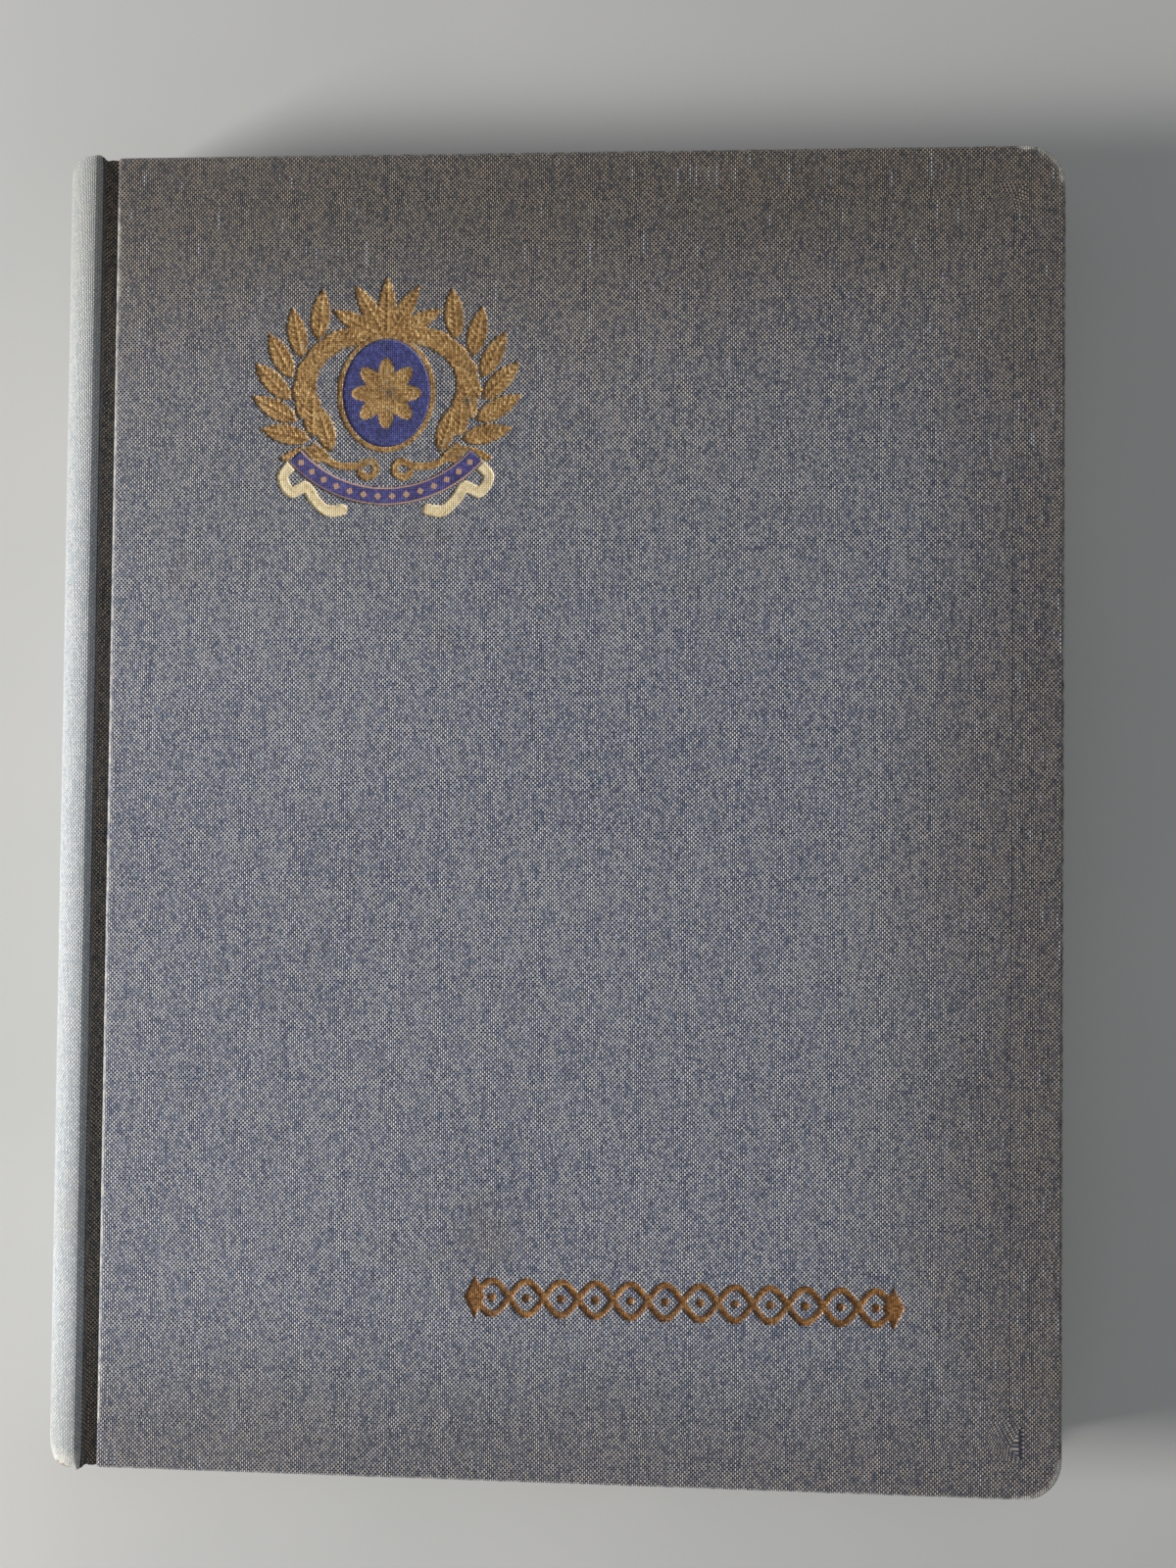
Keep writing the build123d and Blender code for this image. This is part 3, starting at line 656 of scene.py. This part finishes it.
def make_flap_hinge(name, front):
    """The cloth strip that is pasted inside the cover and up the flap's spine-side edge."""
    paste = COVER_T - 0.25 * MM
    thin = 0.3 * MM
    x0, x1 = hinge_lo.x, hinge_hi.x
    half = hinge_hi.y
    flap_z = 5.4 * MM
    line = [
        (x0, flap_z),
        (x0, flap_z - 0.7 * MM),
        (x0, flap_z - 1.4 * MM),
        (x0, paste + 0.35 * MM),
        (x0 + 0.12 * MM, paste + 0.08 * MM),
        (x0 + 0.5 * MM, paste),
    ]
    line += [(x, paste) for x in spaced(x0 + 3 * MM, x1, 4 * MM)]
    back = [(x, paste + thin) for x in spaced(x1, x0 + 3 * MM, 4 * MM)]
    back += [
        (x0 + 0.7 * MM, paste + thin),
        (x0 + 0.4 * MM, paste + thin + 0.1 * MM),
        (x0 + thin, paste + 0.7 * MM),
        (x0 + thin, flap_z - 1.4 * MM),
        (x0 + thin, flap_z - 0.7 * MM),
        (x0 + thin, flap_z),
    ]
    ring = np.array(line + back)
    ys = spaced(-half, half, 8 * MM)
    points = swept(ring, ys)
    if front:
        points[..., 2] = ALBUM_T - points[..., 2]
    build = Build()
    u, v = np.meshgrid(ring[:, 0] + ring[:, 1], ys)
    build.tube(points, np.stack([u, v], -1), len(line), flip=not front)
    return build.make(name, smooth=50)


# Leaves

LEAF_T = 0.28 * MM
PAPER_T = 0.24 * MM
LINEN_T = 0.16 * MM


def slab(build, x, half_y, z_mid, thickness, rows, wave):
    """A thin sheet between two faces. x holds its lines and half_y how far it reaches at each."""
    share = np.linspace(-1, 1, rows)
    px = np.broadcast_to(x, (rows, len(x)))
    py = share[:, None] * half_y[None, :]
    pz = np.broadcast_to(z_mid, (rows, len(x))) + wave(px, py)
    upper = build.grid(
        np.stack([px, py, pz + thickness / 2], -1), np.stack([px, py], -1), np.zeros(px.size), flip=True
    )
    lower = build.grid(
        np.stack([px, py, pz - thickness / 2], -1), np.stack([px, py], -1), np.zeros(px.size)
    )
    rim = lambda grid: np.concatenate([grid[0, :-1], grid[:-1, -1], grid[-1, :0:-1], grid[:0:-1, 0]])
    build.quads(np.stack([rim(upper), rim(lower)]), flip=True)
    a, b = rim(upper), rim(lower)
    build.faces.append((int(a[-1]), int(a[0]), int(b[0]), int(b[-1])))


def make_leaf_section(number):
    """Three leaves with rounded fore-edge corners, each cut a little differently and a little wavy."""
    node = f"leaf_section_{number:02d}"
    low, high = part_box(node)
    pitch = (high.z - low.z - LEAF_T) / 2
    corner = 3 * MM
    build = Build()
    for n in range(3):
        end = high.x - rng.uniform(0, 0.55) * MM
        half = high.y - rng.uniform(0, 0.4) * MM
        lines = np.concatenate(
            [
                spaced(low.x, end - corner, 12 * MM),
                end - corner + corner * np.sin(np.radians([18, 36, 54, 72, 85, 90])),
            ]
        )
        reach = half - corner + np.sqrt(
            np.maximum(corner ** 2 - np.maximum(lines - end + corner, 0) ** 2, 0)
        )
        seed = number * 3 + n
        wave = lambda x, y: 0.016 * MM * lumpy(x, y, 70 * MM, seed)
        slab(build, lines, reach, low.z + LEAF_T / 2 + n * pitch, PAPER_T, 26, wave)
    obj = build.make(f"{node}_paper", smooth=40)
    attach(obj, node)
    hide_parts(node)
    return obj


def make_linen_hinge(number):
    """Three strips of linen, from the stubs to their leaves, pasted 1.5 mm onto each leaf."""
    node = f"leaf_section_{number:02d}"
    low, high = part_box(node)
    pitch = (high.z - low.z - LEAF_T) / 2
    stubs = (stub_hi.z - stub_lo.z) / 36
    fold = low.x
    build = Build()
    for n in range(3):
        leaf = (number - 1) * 3 + n
        start_z = stub_lo.z + (leaf + 0.5) * stubs
        end_z = low.z + LEAF_T / 2 + n * pitch
        x = np.concatenate([spaced(stub_hi.x, fold, 1.2 * MM), [fold + 1.5 * MM]])
        share = np.clip((x - stub_hi.x) / (fold - stub_hi.x), 0, 1)
        z = start_z + (end_z - start_z) * share
        slab(build, x, np.full(len(x), high.y - 0.6 * MM), z[None, :], LINEN_T, 30, lambda a, b: 0 * a)
    obj = build.make(f"linen_hinge_{number:02d}", smooth=50)
    side = "back" if number <= 6 else "front"
    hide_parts(f"{side}_linen_hinges")
    return obj, node, fold, (low.z + high.z) / 2


# Materials

class Net:
    """Short calls for a material's nodes."""

    def __init__(self, name, **shader):
        self.material = bpy.data.materials.new(name)
        self.material.use_nodes = True
        self.tree = self.material.node_tree
        self.shader = self.tree.nodes["Principled BSDF"]
        for key, value in shader.items():
            self.shader.inputs[key.replace("_", " ")].default_value = value

    def node(self, kind, **settings):
        node = self.tree.nodes.new("ShaderNode" + kind)
        for key, value in settings.items():
            setattr(node, key, value)
        return node

    def put(self, socket, value):
        if isinstance(value, bpy.types.NodeSocket):
            self.tree.links.new(value, socket)
        else:
            socket.default_value = value

    def math(self, operation, *values, clamp=False):
        node = self.node("Math", operation=operation, use_clamp=clamp)
        for k, value in enumerate(values):
            self.put(node.inputs[k], value)
        return node.outputs[0]

    def mul(self, a, b, **settings):
        return self.math("MULTIPLY", a, b, **settings)

    def add(self, a, b, **settings):
        return self.math("ADD", a, b, **settings)

    def sub(self, a, b, **settings):
        return self.math("SUBTRACT", a, b, **settings)

    def larger(self, a, b):
        return self.math("MAXIMUM", a, b)

    def size(self, a):
        return self.math("ABSOLUTE", a)

    def mul_add(self, a, b, c, **settings):
        """a x b + c"""
        return self.math("MULTIPLY_ADD", a, b, c, **settings)

    def mix(self, share, a, b, blend="MIX"):
        node = self.node("Mix", data_type="RGBA", blend_type=blend)
        self.put(node.inputs[0], share)
        self.put(node.inputs[6], a)
        self.put(node.inputs[7], b)
        return node.outputs[2]

    def vector(self, x, y, z=0.0):
        node = self.node("CombineXYZ")
        for k, value in enumerate((x, y, z)):
            self.put(node.inputs[k], value)
        return node.outputs[0]

    def split(self, vector):
        node = self.node("SeparateXYZ")
        self.put(node.inputs[0], vector)
        return node.outputs[0], node.outputs[1], node.outputs[2]

    def noise(self, vector, scale, detail=2.0, rough=0.5):
        node = self.node("TexNoise")
        self.put(node.inputs["Vector"], vector)
        node.inputs["Scale"].default_value = scale
        node.inputs["Detail"].default_value = detail
        node.inputs["Roughness"].default_value = rough
        return node.outputs["Fac"]

    def streaks(self, u, per_u, v, per_v, detail=2.0, rough=0.5, layer=0.0):
        """Noise with its own scale along each of two directions."""
        place = self.vector(self.mul(u, per_u), self.mul(v, per_v), layer)
        return self.noise(place, 1.0, detail, rough)

    def grain(self, place, scales, detail=2.0, rough=0.5):
        """Noise with its own scale along each axis."""
        return self.noise(self.vector(*[self.mul(p, k) for p, k in zip(place, scales)]), 1.0, detail, rough)

    def white(self, vector):
        node = self.node("TexWhiteNoise", noise_dimensions="3D")
        self.put(node.inputs["Vector"], vector)
        return node.outputs["Value"]

    def ramp(self, value, stops):
        node = self.node("ValToRGB")
        ramp = node.color_ramp
        ramp.interpolation = "LINEAR"
        while len(ramp.elements) < len(stops):
            ramp.elements.new(0.5)
        for element, (place, colour) in zip(ramp.elements, stops):
            element.position = place
            element.color = (*colour, 1) if len(colour) == 3 else colour
        self.put(node.inputs[0], value)
        return node.outputs[0]

    def range(self, value, low, high, to_low=0.0, to_high=1.0):
        node = self.node("MapRange", interpolation_type="SMOOTHSTEP")
        for key, item in (
            ("Value", value), ("From Min", low), ("From Max", high), ("To Min", to_low), ("To Max", to_high)
        ):
            self.put(node.inputs[key], item)
        return node.outputs[0]

    def attribute(self, name):
        return self.node("Attribute", attribute_name=name)

    def position(self):
        return self.node("TexCoord").outputs["Object"]

    def bump(self, height, distance, strength=1.0):
        node = self.node("Bump")
        node.inputs["Strength"].default_value = strength
        node.inputs["Distance"].default_value = distance
        self.put(node.inputs["Height"], height)
        return node.outputs[0]

    def finish(self, colour, rough, normal=None):
        self.put(self.shader.inputs["Base Color"], colour)
        self.put(self.shader.inputs["Roughness"], rough)
        if normal is not None:
            self.put(self.shader.inputs["Normal"], normal)
        return self.material


def rgb(r, g, b):
    """A display colour of 0 to 255 as linear light."""
    return tuple(((c / 255 + 0.055) / 1.055) ** 2.4 if c > 10 else c / 3294 for c in (r, g, b))


THREAD = 0.48 * MM


def weave(net, place, pitch=THREAD):
    """Height of a plain weave, whether the warp is on top, and the numbers of its threads."""
    u, v, _ = net.split(place)
    wobble = net.streaks(u, 45.0, v, 45.0, 0.0)
    shift = net.mul(net.sub(wobble, 0.5), pitch * 0.6)
    tu = net.math("DIVIDE", net.add(u, shift), pitch)
    tv = net.math("DIVIDE", net.add(v, shift), pitch)
    su = net.math("SINE", net.mul(tu, pi))
    sv = net.math("SINE", net.mul(tv, pi))
    warp = net.mul(net.size(su), net.mul_add(net.mul(net.math("SIGN", su), sv), 0.45, 0.55))
    weft = net.mul(net.size(sv), net.mul_add(net.mul(net.math("SIGN", sv), su), -0.45, 0.55))
    height = net.larger(warp, weft)
    on_top = net.math("GREATER_THAN", warp, weft)
    return height, on_top, net.math("FLOOR", tu), net.math("FLOOR", tv), u, v


CLOTH_STOPS = [
    (0.08, 24, 30, 50), (0.34, 46, 58, 90), (0.50, 82, 91, 114), (0.68, 140, 145, 156), (0.93, 206, 203, 198)
]


def cloth_material(name, fade_and_light=0.0, dark=1.0, fray=False, groove_shade_brown=0.0):
    """Two-tone book cloth: pale warp over blue weft, with slubs, specks, stains and worn edges, and painted
    shade towards the cover's ends and in the hollows between the threads.
    """
    net = Net(name, Sheen_Weight=0.25, Sheen_Roughness=0.45, Specular_IOR_Level=0.2)
    net.shader.inputs["Sheen Tint"].default_value = (0.8, 0.85, 0.95, 1)
    place = net.attribute("weave").outputs["Vector"]
    worn = net.attribute("wear").outputs["Fac"]
    height, on_top, i, j, u, v = weave(net, place)
    run_v = net.math("FLOOR", net.mul_add(v, 1 / (1.3 * MM), net.mul(net.white(net.vector(i, 3.0)), 5.0)))
    run_u = net.math("FLOOR", net.mul_add(u, 1 / (1.1 * MM), net.mul(net.white(net.vector(j, 9.0)), 5.0)))
    warp_tone = net.white(net.vector(i, run_v, 1.0))
    weft_tone = net.white(net.vector(run_u, j, 5.0))
    thread = net.add(net.mul(on_top, warp_tone), net.mul(net.sub(1.0, on_top), weft_tone))
    cell = net.white(net.vector(i, j, 2.0))
    tone = net.add(net.mul(thread, 0.20), net.mul(cell, 0.30))
    tone = net.mul_add(on_top, 0.56, tone)
    bands = net.streaks(u, 620.0, v, 40.0, 2.0, 0.55)
    patches = net.streaks(u, 18.0, v, 14.0, 3.0, 0.55)
    tone = net.add(tone, net.mul(net.sub(bands, 0.5), 0.22))
    tone = net.add(tone, net.mul(net.sub(patches, 0.5), 0.14))
    # The dark factor scales every colour; the groove's copy raises it above 1 as painted light.
    colour = net.ramp(tone, [(p, tuple(c * dark for c in rgb(*stop))) for p, *stop in CLOTH_STOPS])
    # Painted shade: the cloth turns darker and browner towards the head and the fore-edge, and darker still
    # close to the head, the tail and the fore-edge, standing in for the light falling off towards them.
    brown_end_shade = net.range(net.mul_add(patches, 0.05, v), 0.045, 0.185, 0, 1)
    edge = net.range(net.mul_add(patches, 0.03, u), 0.06, 0.14, 0, 0.55)
    brown_end_shade = net.mul(net.larger(brown_end_shade, edge), 0.75)
    colour = net.mix(net.add(brown_end_shade, groove_shade_brown, clamp=True), colour, (0.72, 0.62, 0.46, 1), "MULTIPLY")
    dark_end_shade = net.range(net.mul_add(patches, 0.02, v), 0.105, 0.160)
    tail_shade = net.range(net.mul_add(patches, 0.02, net.mul(v, -1.0)), 0.120, 0.165, 0, 0.85)
    fore_edge_shade = net.range(net.mul_add(patches, 0.03, u), 0.085, 0.135, 0, 0.9)
    dark_end_shade = net.larger(net.larger(dark_end_shade, tail_shade), fore_edge_shade)
    colour = net.mix(net.mul(dark_end_shade, 0.8), colour, (0.56, 0.49, 0.40, 1), "MULTIPLY")
    slubs = net.streaks(i, 7.31, v, 110.0, 0.0)
    slub = net.mul(net.range(slubs, 0.73, 0.8), on_top)
    colour = net.mix(net.mul(slub, 0.65), colour, (*rgb(196, 198, 200), 1))
    specks = net.streaks(u, 900.0, v, 900.0, 1.0)
    colour = net.mix(net.mul(net.range(specks, 0.79, 0.84), 0.6), colour, (*rgb(222, 214, 196), 1))
    stains = net.streaks(u, 26.0, v, 26.0, 4.0, 0.6, layer=4.0)
    colour = net.mix(net.range(stains, 0.60, 0.80, 0, 0.35), colour, (*rgb(112, 98, 80), 1))
    # Painted shade: the hollows between the threads are darkened towards a deep blue.
    gaps = net.range(height, 0.0, 0.55)
    colour = net.mix(net.sub(1.0, gaps), colour, (*[c * 0.28 * dark for c in rgb(70, 74, 88)], 1))
    # Partly sun-fading, partly painted light: the cloth is mixed towards a pale grey-green, darker in the
    # hollows between threads as painted shade, so that the spine's side lit by the key lamp comes out near
    # white.
    if fade_and_light:
        pale = net.mix(gaps, (*rgb(150, 160, 160), 1), (*rgb(226, 232, 228), 1))
        colour = net.mix(fade_and_light, colour, pale)
    rubbed = net.streaks(u, 420.0, v, 420.0, 3.0, 0.65, layer=8.0)
    mask = net.mul(worn, net.range(rubbed, 0.25, 0.75, 0.35, 1.25))
    mask = net.mul(mask, net.range(height, 0.15, 0.8, 0.45, 1.0), clamp=True)
    colour = net.mix(net.range(mask, 0.12, 0.75, 0, 0.9), colour, (*rgb(196, 194, 184), 1))
    if fray:
        holes = net.range(
            net.mul(net.mul(worn, worn), net.streaks(u, 260.0, v, 330.0, 3.0, 0.7, layer=3.0)), 0.40, 0.52
        )
        colour = net.mix(net.mul(holes, 0.8), colour, (*rgb(120, 98, 72), 1))
    rough = net.mul_add(tone, -0.12, 0.92)
    fuzz = net.streaks(u, 5200.0, v, 5200.0, 2.0)
    surface = net.mul_add(fuzz, 0.35, net.mul_add(cell, 0.35, height))
    normal = net.bump(surface, 0.16 * MM, 1.0)
    return net.finish(colour, rough, normal)


def foil_material(name, colour_stops, metal, rough, bare, edge_colour=None):
    """Blocking foil on the cloth: it covers the tops of the threads and is rubbed off in places."""
    net = Net(name, Specular_IOR_Level=0.5)
    place = net.attribute("weave").outputs["Vector"]
    lines = net.attribute("wear").outputs["Fac"]
    height, on_top, i, j, u, v = weave(net, place)
    cell = net.white(net.vector(i, j, 6.0))
    drift = net.streaks(u, 240.0, v, 240.0, 3.0, 0.6)
    tone = net.add(net.mul(cell, 0.42), net.mul(drift, 0.62))
    colour = net.ramp(tone, [(place, rgb(*colour)) for place, *colour in colour_stops])
    if edge_colour:
        colour = net.mix(net.range(lines, 0.25, 0.6), colour, (*edge_colour, 1))
    # Bare cloth shows between the threads where the foil doesn't reach, darkened further there as painted
    # shade.
    gaps = net.range(height, 0.05, 0.5)
    colour = net.mix(net.mul(net.sub(1.0, gaps), 0.75), colour, (*[c * 0.45 for c in rgb(*bare)], 1))
    rubbed = net.streaks(u, 170.0, v, 170.0, 4.0, 0.7, layer=5.0)
    bald = net.range(net.mul_add(cell, 0.12, rubbed), 0.62, 0.78)
    colour = net.mix(net.mul(bald, 0.7), colour, (*rgb(*bare), 1))
    shine = net.mul(net.mul(gaps, net.sub(1.0, bald)), metal)
    net.put(net.shader.inputs["Metallic"], shine)
    fuzz = net.streaks(u, 4200.0, v, 4200.0, 2.0)
    surface = net.mul_add(fuzz, 0.35, height)
    normal = net.bump(surface, 0.09 * MM, 1.0)
    return net.finish(colour, net.mul_add(cell, 0.15, rough), normal)


STAMP_FRAMES = ((47 * MM, 17 * MM), (40 * MM, 14 * MM))  # pitch and half size, in X and in Y
PAGE_BORDER = (18 * MM, 92 * MM, 143 * MM)  # middle in X, and half sizes in X and Y


def paper_material(name, light, dark, print_frames=False, grain=1.0):
    """Aged paper with foxing, and printed frames for stamps if it is a leaf's."""
    net = Net(name, Specular_IOR_Level=0.3)
    place = net.position()
    x, y, z = net.split(place)
    fibre = net.grain((x, y, z), (900.0, 520.0, 5200.0), 4.0, 0.6)
    age = net.grain((x, y, z), (22.0, 22.0, 900.0), 4.0, 0.6)
    foxing = net.grain((x, y, z), (260.0, 260.0, 1400.0), 2.0, 0.5)
    tone = net.add(net.mul(fibre, 0.35), net.mul(age, 0.65))
    colour = net.ramp(tone, [(0.3, rgb(*dark)), (0.7, rgb(*light))])
    colour = net.mix(net.range(foxing, 0.76, 0.84, 0, 0.55), colour, (*rgb(168, 128, 84), 1))
    if print_frames:
        def from_frame(value, pitch, half):
            """Distance past the frames' edges along one axis."""
            folded = net.size(net.sub(net.math("FRACT", net.math("DIVIDE", value, pitch)), 0.5))
            return net.sub(net.mul(folded, pitch), half)

        def line(distance, half_width):
            return net.math("LESS_THAN", net.size(distance), half_width)

        frame_edge = net.larger(*[
            from_frame(net.add(value, 0.5), pitch, half)
            for value, (pitch, half) in zip((x, y), STAMP_FRAMES)
        ])
        ink = net.larger(line(frame_edge, 0.14 * MM), line(net.add(frame_edge, 1.1 * MM), 0.07 * MM))
        centre_x, half_x, half_y = PAGE_BORDER
        page_edge = net.larger(
            net.sub(net.size(net.sub(x, centre_x)), half_x), net.sub(net.size(y), half_y)
        )
        ink = net.mul(ink, net.math("LESS_THAN", page_edge, 0.0))
        ink = net.larger(ink, line(net.sub(page_edge, 2.2 * MM), 0.16 * MM))
        colour = net.mix(net.mul(ink, 0.72), colour, (*rgb(84, 74, 66), 1))
    normal = net.bump(fibre, 0.03 * MM * grain, 0.6)
    return net.finish(colour, net.range(age, 0.2, 0.8, 0.78, 0.9), normal)


def board_material(name):
    net = Net(name, Specular_IOR_Level=0.2)
    x, y, z = net.split(net.position())
    layers = net.grain((x, y, z), (60.0, 60.0, 6000.0), 4.0, 0.7)
    flecks = net.grain((x, y, z), (1200.0, 1200.0, 2500.0), 3.0, 0.6)
    tone = net.add(net.mul(layers, 0.5), net.mul(flecks, 0.5))
    colour = net.ramp(tone, [(0.32, rgb(104, 96, 84)), (0.68, rgb(164, 156, 140))])
    return net.finish(colour, 0.92, net.bump(flecks, 0.08 * MM, 0.8))


def metal_material(name):
    net = Net(name)
    x, y, z = net.split(net.position())
    turn = net.grain((x, y, z), (700.0, 700.0, 9000.0), 2.0)
    stain = net.noise(net.vector(net.mul(x, 300.0), net.mul(y, 300.0), z), 1.0, 4.0, 0.65)
    colour = net.ramp(
        stain, [(0.3, rgb(122, 92, 48)), (0.55, rgb(196, 160, 92)), (0.75, rgb(214, 184, 120))]
    )
    net.put(net.shader.inputs["Metallic"], net.range(stain, 0.2, 0.45, 0.75, 1.0))
    return net.finish(colour, net.range(stain, 0.3, 0.7, 0.48, 0.26), net.bump(turn, 0.02 * MM, 0.6))


def linen_material(name, light, dark, pitch, object_place=False):
    net = Net(name, Sheen_Weight=0.2, Specular_IOR_Level=0.2)
    place = net.position() if object_place else net.attribute("weave").outputs["Vector"]
    height, on_top, i, j, u, v = weave(net, place, pitch)
    # Half the tone follows thread height: painted shade in the hollows between the threads.
    tone = net.add(net.mul(net.white(net.vector(i, j, 4.0)), 0.5), net.mul(height, 0.5))
    colour = net.ramp(tone, [(0.15, rgb(*dark)), (0.8, rgb(*light))])
    return net.finish(colour, 0.9, net.bump(height, 0.06 * MM, 0.9))


cover_weave = cloth_material("book_cloth")
# Painted light and shade: the groove's copy of the book cloth is tinted to a brownish tone for the shade in
# the groove, and its colours are raised 1.4 times as painted light against the spine's shadow there.
groove_shaded_weave = cloth_material("book_cloth_groove_shaded", dark=1.4, groove_shade_brown=1.0)
# Spine cloth: partly sun-faded, partly painted light that lifts its lit side to near white.
spine_weave = cloth_material("book_cloth_faded_and_lit", fade_and_light=0.30, fray=True)
gilt = foil_material(
    "gilt_foil", [(0.2, 92, 62, 28), (0.45, 148, 110, 58), (0.66, 178, 140, 84), (0.9, 224, 196, 140)],
    0.4, 0.45, (84, 84, 74),
)
gilt_title = foil_material(
    "gilt_foil_title", [(0.2, 84, 52, 22), (0.5, 132, 88, 42), (0.85, 190, 142, 80)], 0.5, 0.45, (92, 84, 70)
)
blue = foil_material(
    "blue_foil", [(0.25, 26, 26, 72), (0.6, 50, 52, 118), (0.95, 92, 96, 156)], 0.0, 0.5, (70, 76, 104)
)
ribbon_blue = foil_material(
    "blue_foil_ribbon", [(0.25, 34, 30, 78), (0.6, 58, 54, 122), (0.95, 104, 100, 160)],
    0.0, 0.5, (80, 80, 108), edge_colour=rgb(178, 140, 104),
)
cream = foil_material(
    "cream_foil", [(0.2, 188, 162, 112), (0.5, 224, 204, 158), (0.9, 240, 226, 190)],
    0.0, 0.55, (120, 110, 92),
)
page = paper_material("album_paper", (238, 232, 214), (216, 206, 182), print_frames=True)
endpaper = paper_material("endpaper", (226, 216, 192), (196, 182, 152), grain=1.6)
stub_paper = paper_material("stub_paper", (224, 214, 190), (190, 176, 148), grain=2.0)
lining_paper = paper_material("lining_paper", (196, 182, 152), (158, 142, 112), grain=2.0)
greyboard = board_material("greyboard")
brass = metal_material("brass")
tape = linen_material("linen_tape", (214, 206, 186), (150, 142, 122), 0.32 * MM)
flap_linen = linen_material("flap_linen", (112, 118, 132), (48, 52, 66), 0.45 * MM, object_place=True)
hinge_linen = linen_material("hinge_linen", (112, 118, 132), (48, 52, 66), 0.45 * MM)

# Pieces

for side, front in (("back", False), ("front", True)):
    cover = make_cover_cloth(f"{side}_cover_weave", f"{side}_cover", front)
    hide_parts(f"{side}_cover_cloth")
    dress(cover, cover_weave)
    joint = make_joint_cloth(f"{side}_joint_weave", front)
    z = ALBUM_T - GROOVE_D if front else GROOVE_D
    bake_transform(joint)
    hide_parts(f"{side}_joint_cloth")
    dress(joint, groove_shaded_weave)
    hinge = make_flap_hinge(f"{side}_flap_hinge_cloth", front)
    z0, z1 = 5.2 * MM, COVER_T + 0.2 * MM
    if front:
        z0, z1 = ALBUM_T - z0, ALBUM_T - z1
    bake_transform(hinge)
    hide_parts(f"{side}_flap_hinge")
    dress(hinge, hinge_linen)

spine = make_spine_cloth()
strip = make_spine_layer("spine_strip_board", 0.45 * MM, 1.1 * MM, SPINE_ENDS - 4 * MM)
lining = make_spine_layer("spine_lining_paper", 1.60 * MM, 0.12 * MM, SPINE_ENDS - 4 * MM)
for piece, node, material, slot in (
    (spine, "spine_cloth", spine_weave, "book_cloth"),
    (strip, "spine_strip", greyboard, "greyboard"),
    (lining, "spine_lining", lining_paper, "endpaper"),
):
    dress(piece, material)
    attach(piece, "leaf_block")
    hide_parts(node)
    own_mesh(piece)

span = np.array(CREST_SPAN) * MM
crest_x, crest_y = spaced(
    CREST[0] + span[0], CREST[0] + span[1], FINE
), spaced(CREST[1] + span[2], CREST[1] + span[3], FINE)
gx, gy = np.meshgrid(crest_x, crest_y)
shapes = crest_shapes((gx - CREST[0]) / MM, (gy - CREST[1]) / MM)
for node, outline, material, slot, lines in (
    ("crest_wreath", "gilt", gilt, "gilt_foil", None),
    ("crest_rosette", "petals", gilt, "gilt_foil", None),
    ("crest_field", "field", blue, "blue_enamel", None),
    ("crest_ribbon", "band", ribbon_blue, "blue_enamel", "lines"),
    ("crest_ribbon_tails", "tails", cream, "cream_enamel", None),
):
    piece = foil(
        f"{node}_foil", shapes[outline], shapes, crest_x, crest_y, lines=shapes[lines] if lines else None
    )
    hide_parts(node)
    dress(piece, material)
span = np.array(TITLE_SPAN) * MM
title_x, title_y = spaced(
    TITLE[0] + span[0], TITLE[0] + span[1], FINE
), spaced(TITLE[1] + span[2], TITLE[1] + span[3], FINE)
gx, gy = np.meshgrid(title_x, title_y)
shapes = title_shapes((gx - TITLE[0]) / MM, (gy - TITLE[1]) / MM)
piece = foil("title_rule_foil", shapes["whole"], shapes, title_x, title_y)
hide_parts("title_rule")
dress(piece, gilt_title)

for number in range(1, 13):
    dress(make_leaf_section(number), page)
    linen, node, fold, z = make_linen_hinge(number)
    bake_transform(linen)
    dress(linen, tape)

for names, material in (
    (("back_board", "front_board"), greyboard),
    (("back_pastedown", "front_pastedown"), endpaper),
    (("back_flap", "front_flap"), flap_linen),
    (("post_barrels", "post_screws"), brass),
    (("binding_stubs",), stub_paper),
):
    for name in names:
        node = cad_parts[name]
        node.data.materials.clear()
        node.data.materials.append(material)

# Floor, light and camera

floor_net = Net("pale_floor", Specular_IOR_Level=0.2)
grain = floor_net.noise(floor_net.position(), 9.0, 3.0)
floor_colour = floor_net.ramp(grain, [(0.3, (0.44, 0.44, 0.43)), (0.7, (0.475, 0.47, 0.46))])
floor_net.finish(floor_colour, 0.85)
bpy.ops.mesh.primitive_plane_add(size=6, location=(0, 0, CAD_BOX[0][2]))
floor = bpy.context.object
floor.name = "floor"
floor.data.materials.append(floor_net.material)

world = bpy.data.worlds.new("studio")
bpy.context.scene.world = world
world.use_nodes = True
world.node_tree.nodes["Background"].inputs[0].default_value = (0.93, 0.96, 1.0, 1)
world.node_tree.nodes["Background"].inputs[1].default_value = 0.26


def area_light(name, place, target, size, energy, colour):
    data = bpy.data.lights.new(name, "AREA")
    data.shape = "RECTANGLE"
    data.size, data.size_y = size
    data.energy = energy
    data.color = colour
    light = bpy.data.objects.new(name, data)
    light.location = place
    light.rotation_euler = (Vector(target) - Vector(place)).to_track_quat("-Z", "Y").to_euler()
    bpy.context.scene.collection.objects.link(light)


area_light("key", (-1.12, -0.22, 0.37), (0, 0, 0.01), (0.4, 0.25), 30, (1.0, 0.985, 0.96))
area_light("fill", (0.5, 0.4, 1.4), (0, 0, 0), (1.6, 1.6), 4, (0.95, 0.97, 1.0))

camera_data = bpy.data.cameras.new("camera")
camera_data.lens = 27
camera_data.sensor_width = 36
camera_data.clip_start = 0.01
camera = bpy.data.objects.new("camera", camera_data)
camera.location = (0.0216, 0.0017, 0.2927)
camera.rotation_euler = (radians(1.012), radians(2.507), radians(0.59))
bpy.context.scene.collection.objects.link(camera)
bpy.context.scene.camera = camera
bpy.context.scene.view_settings.view_transform = "Standard"
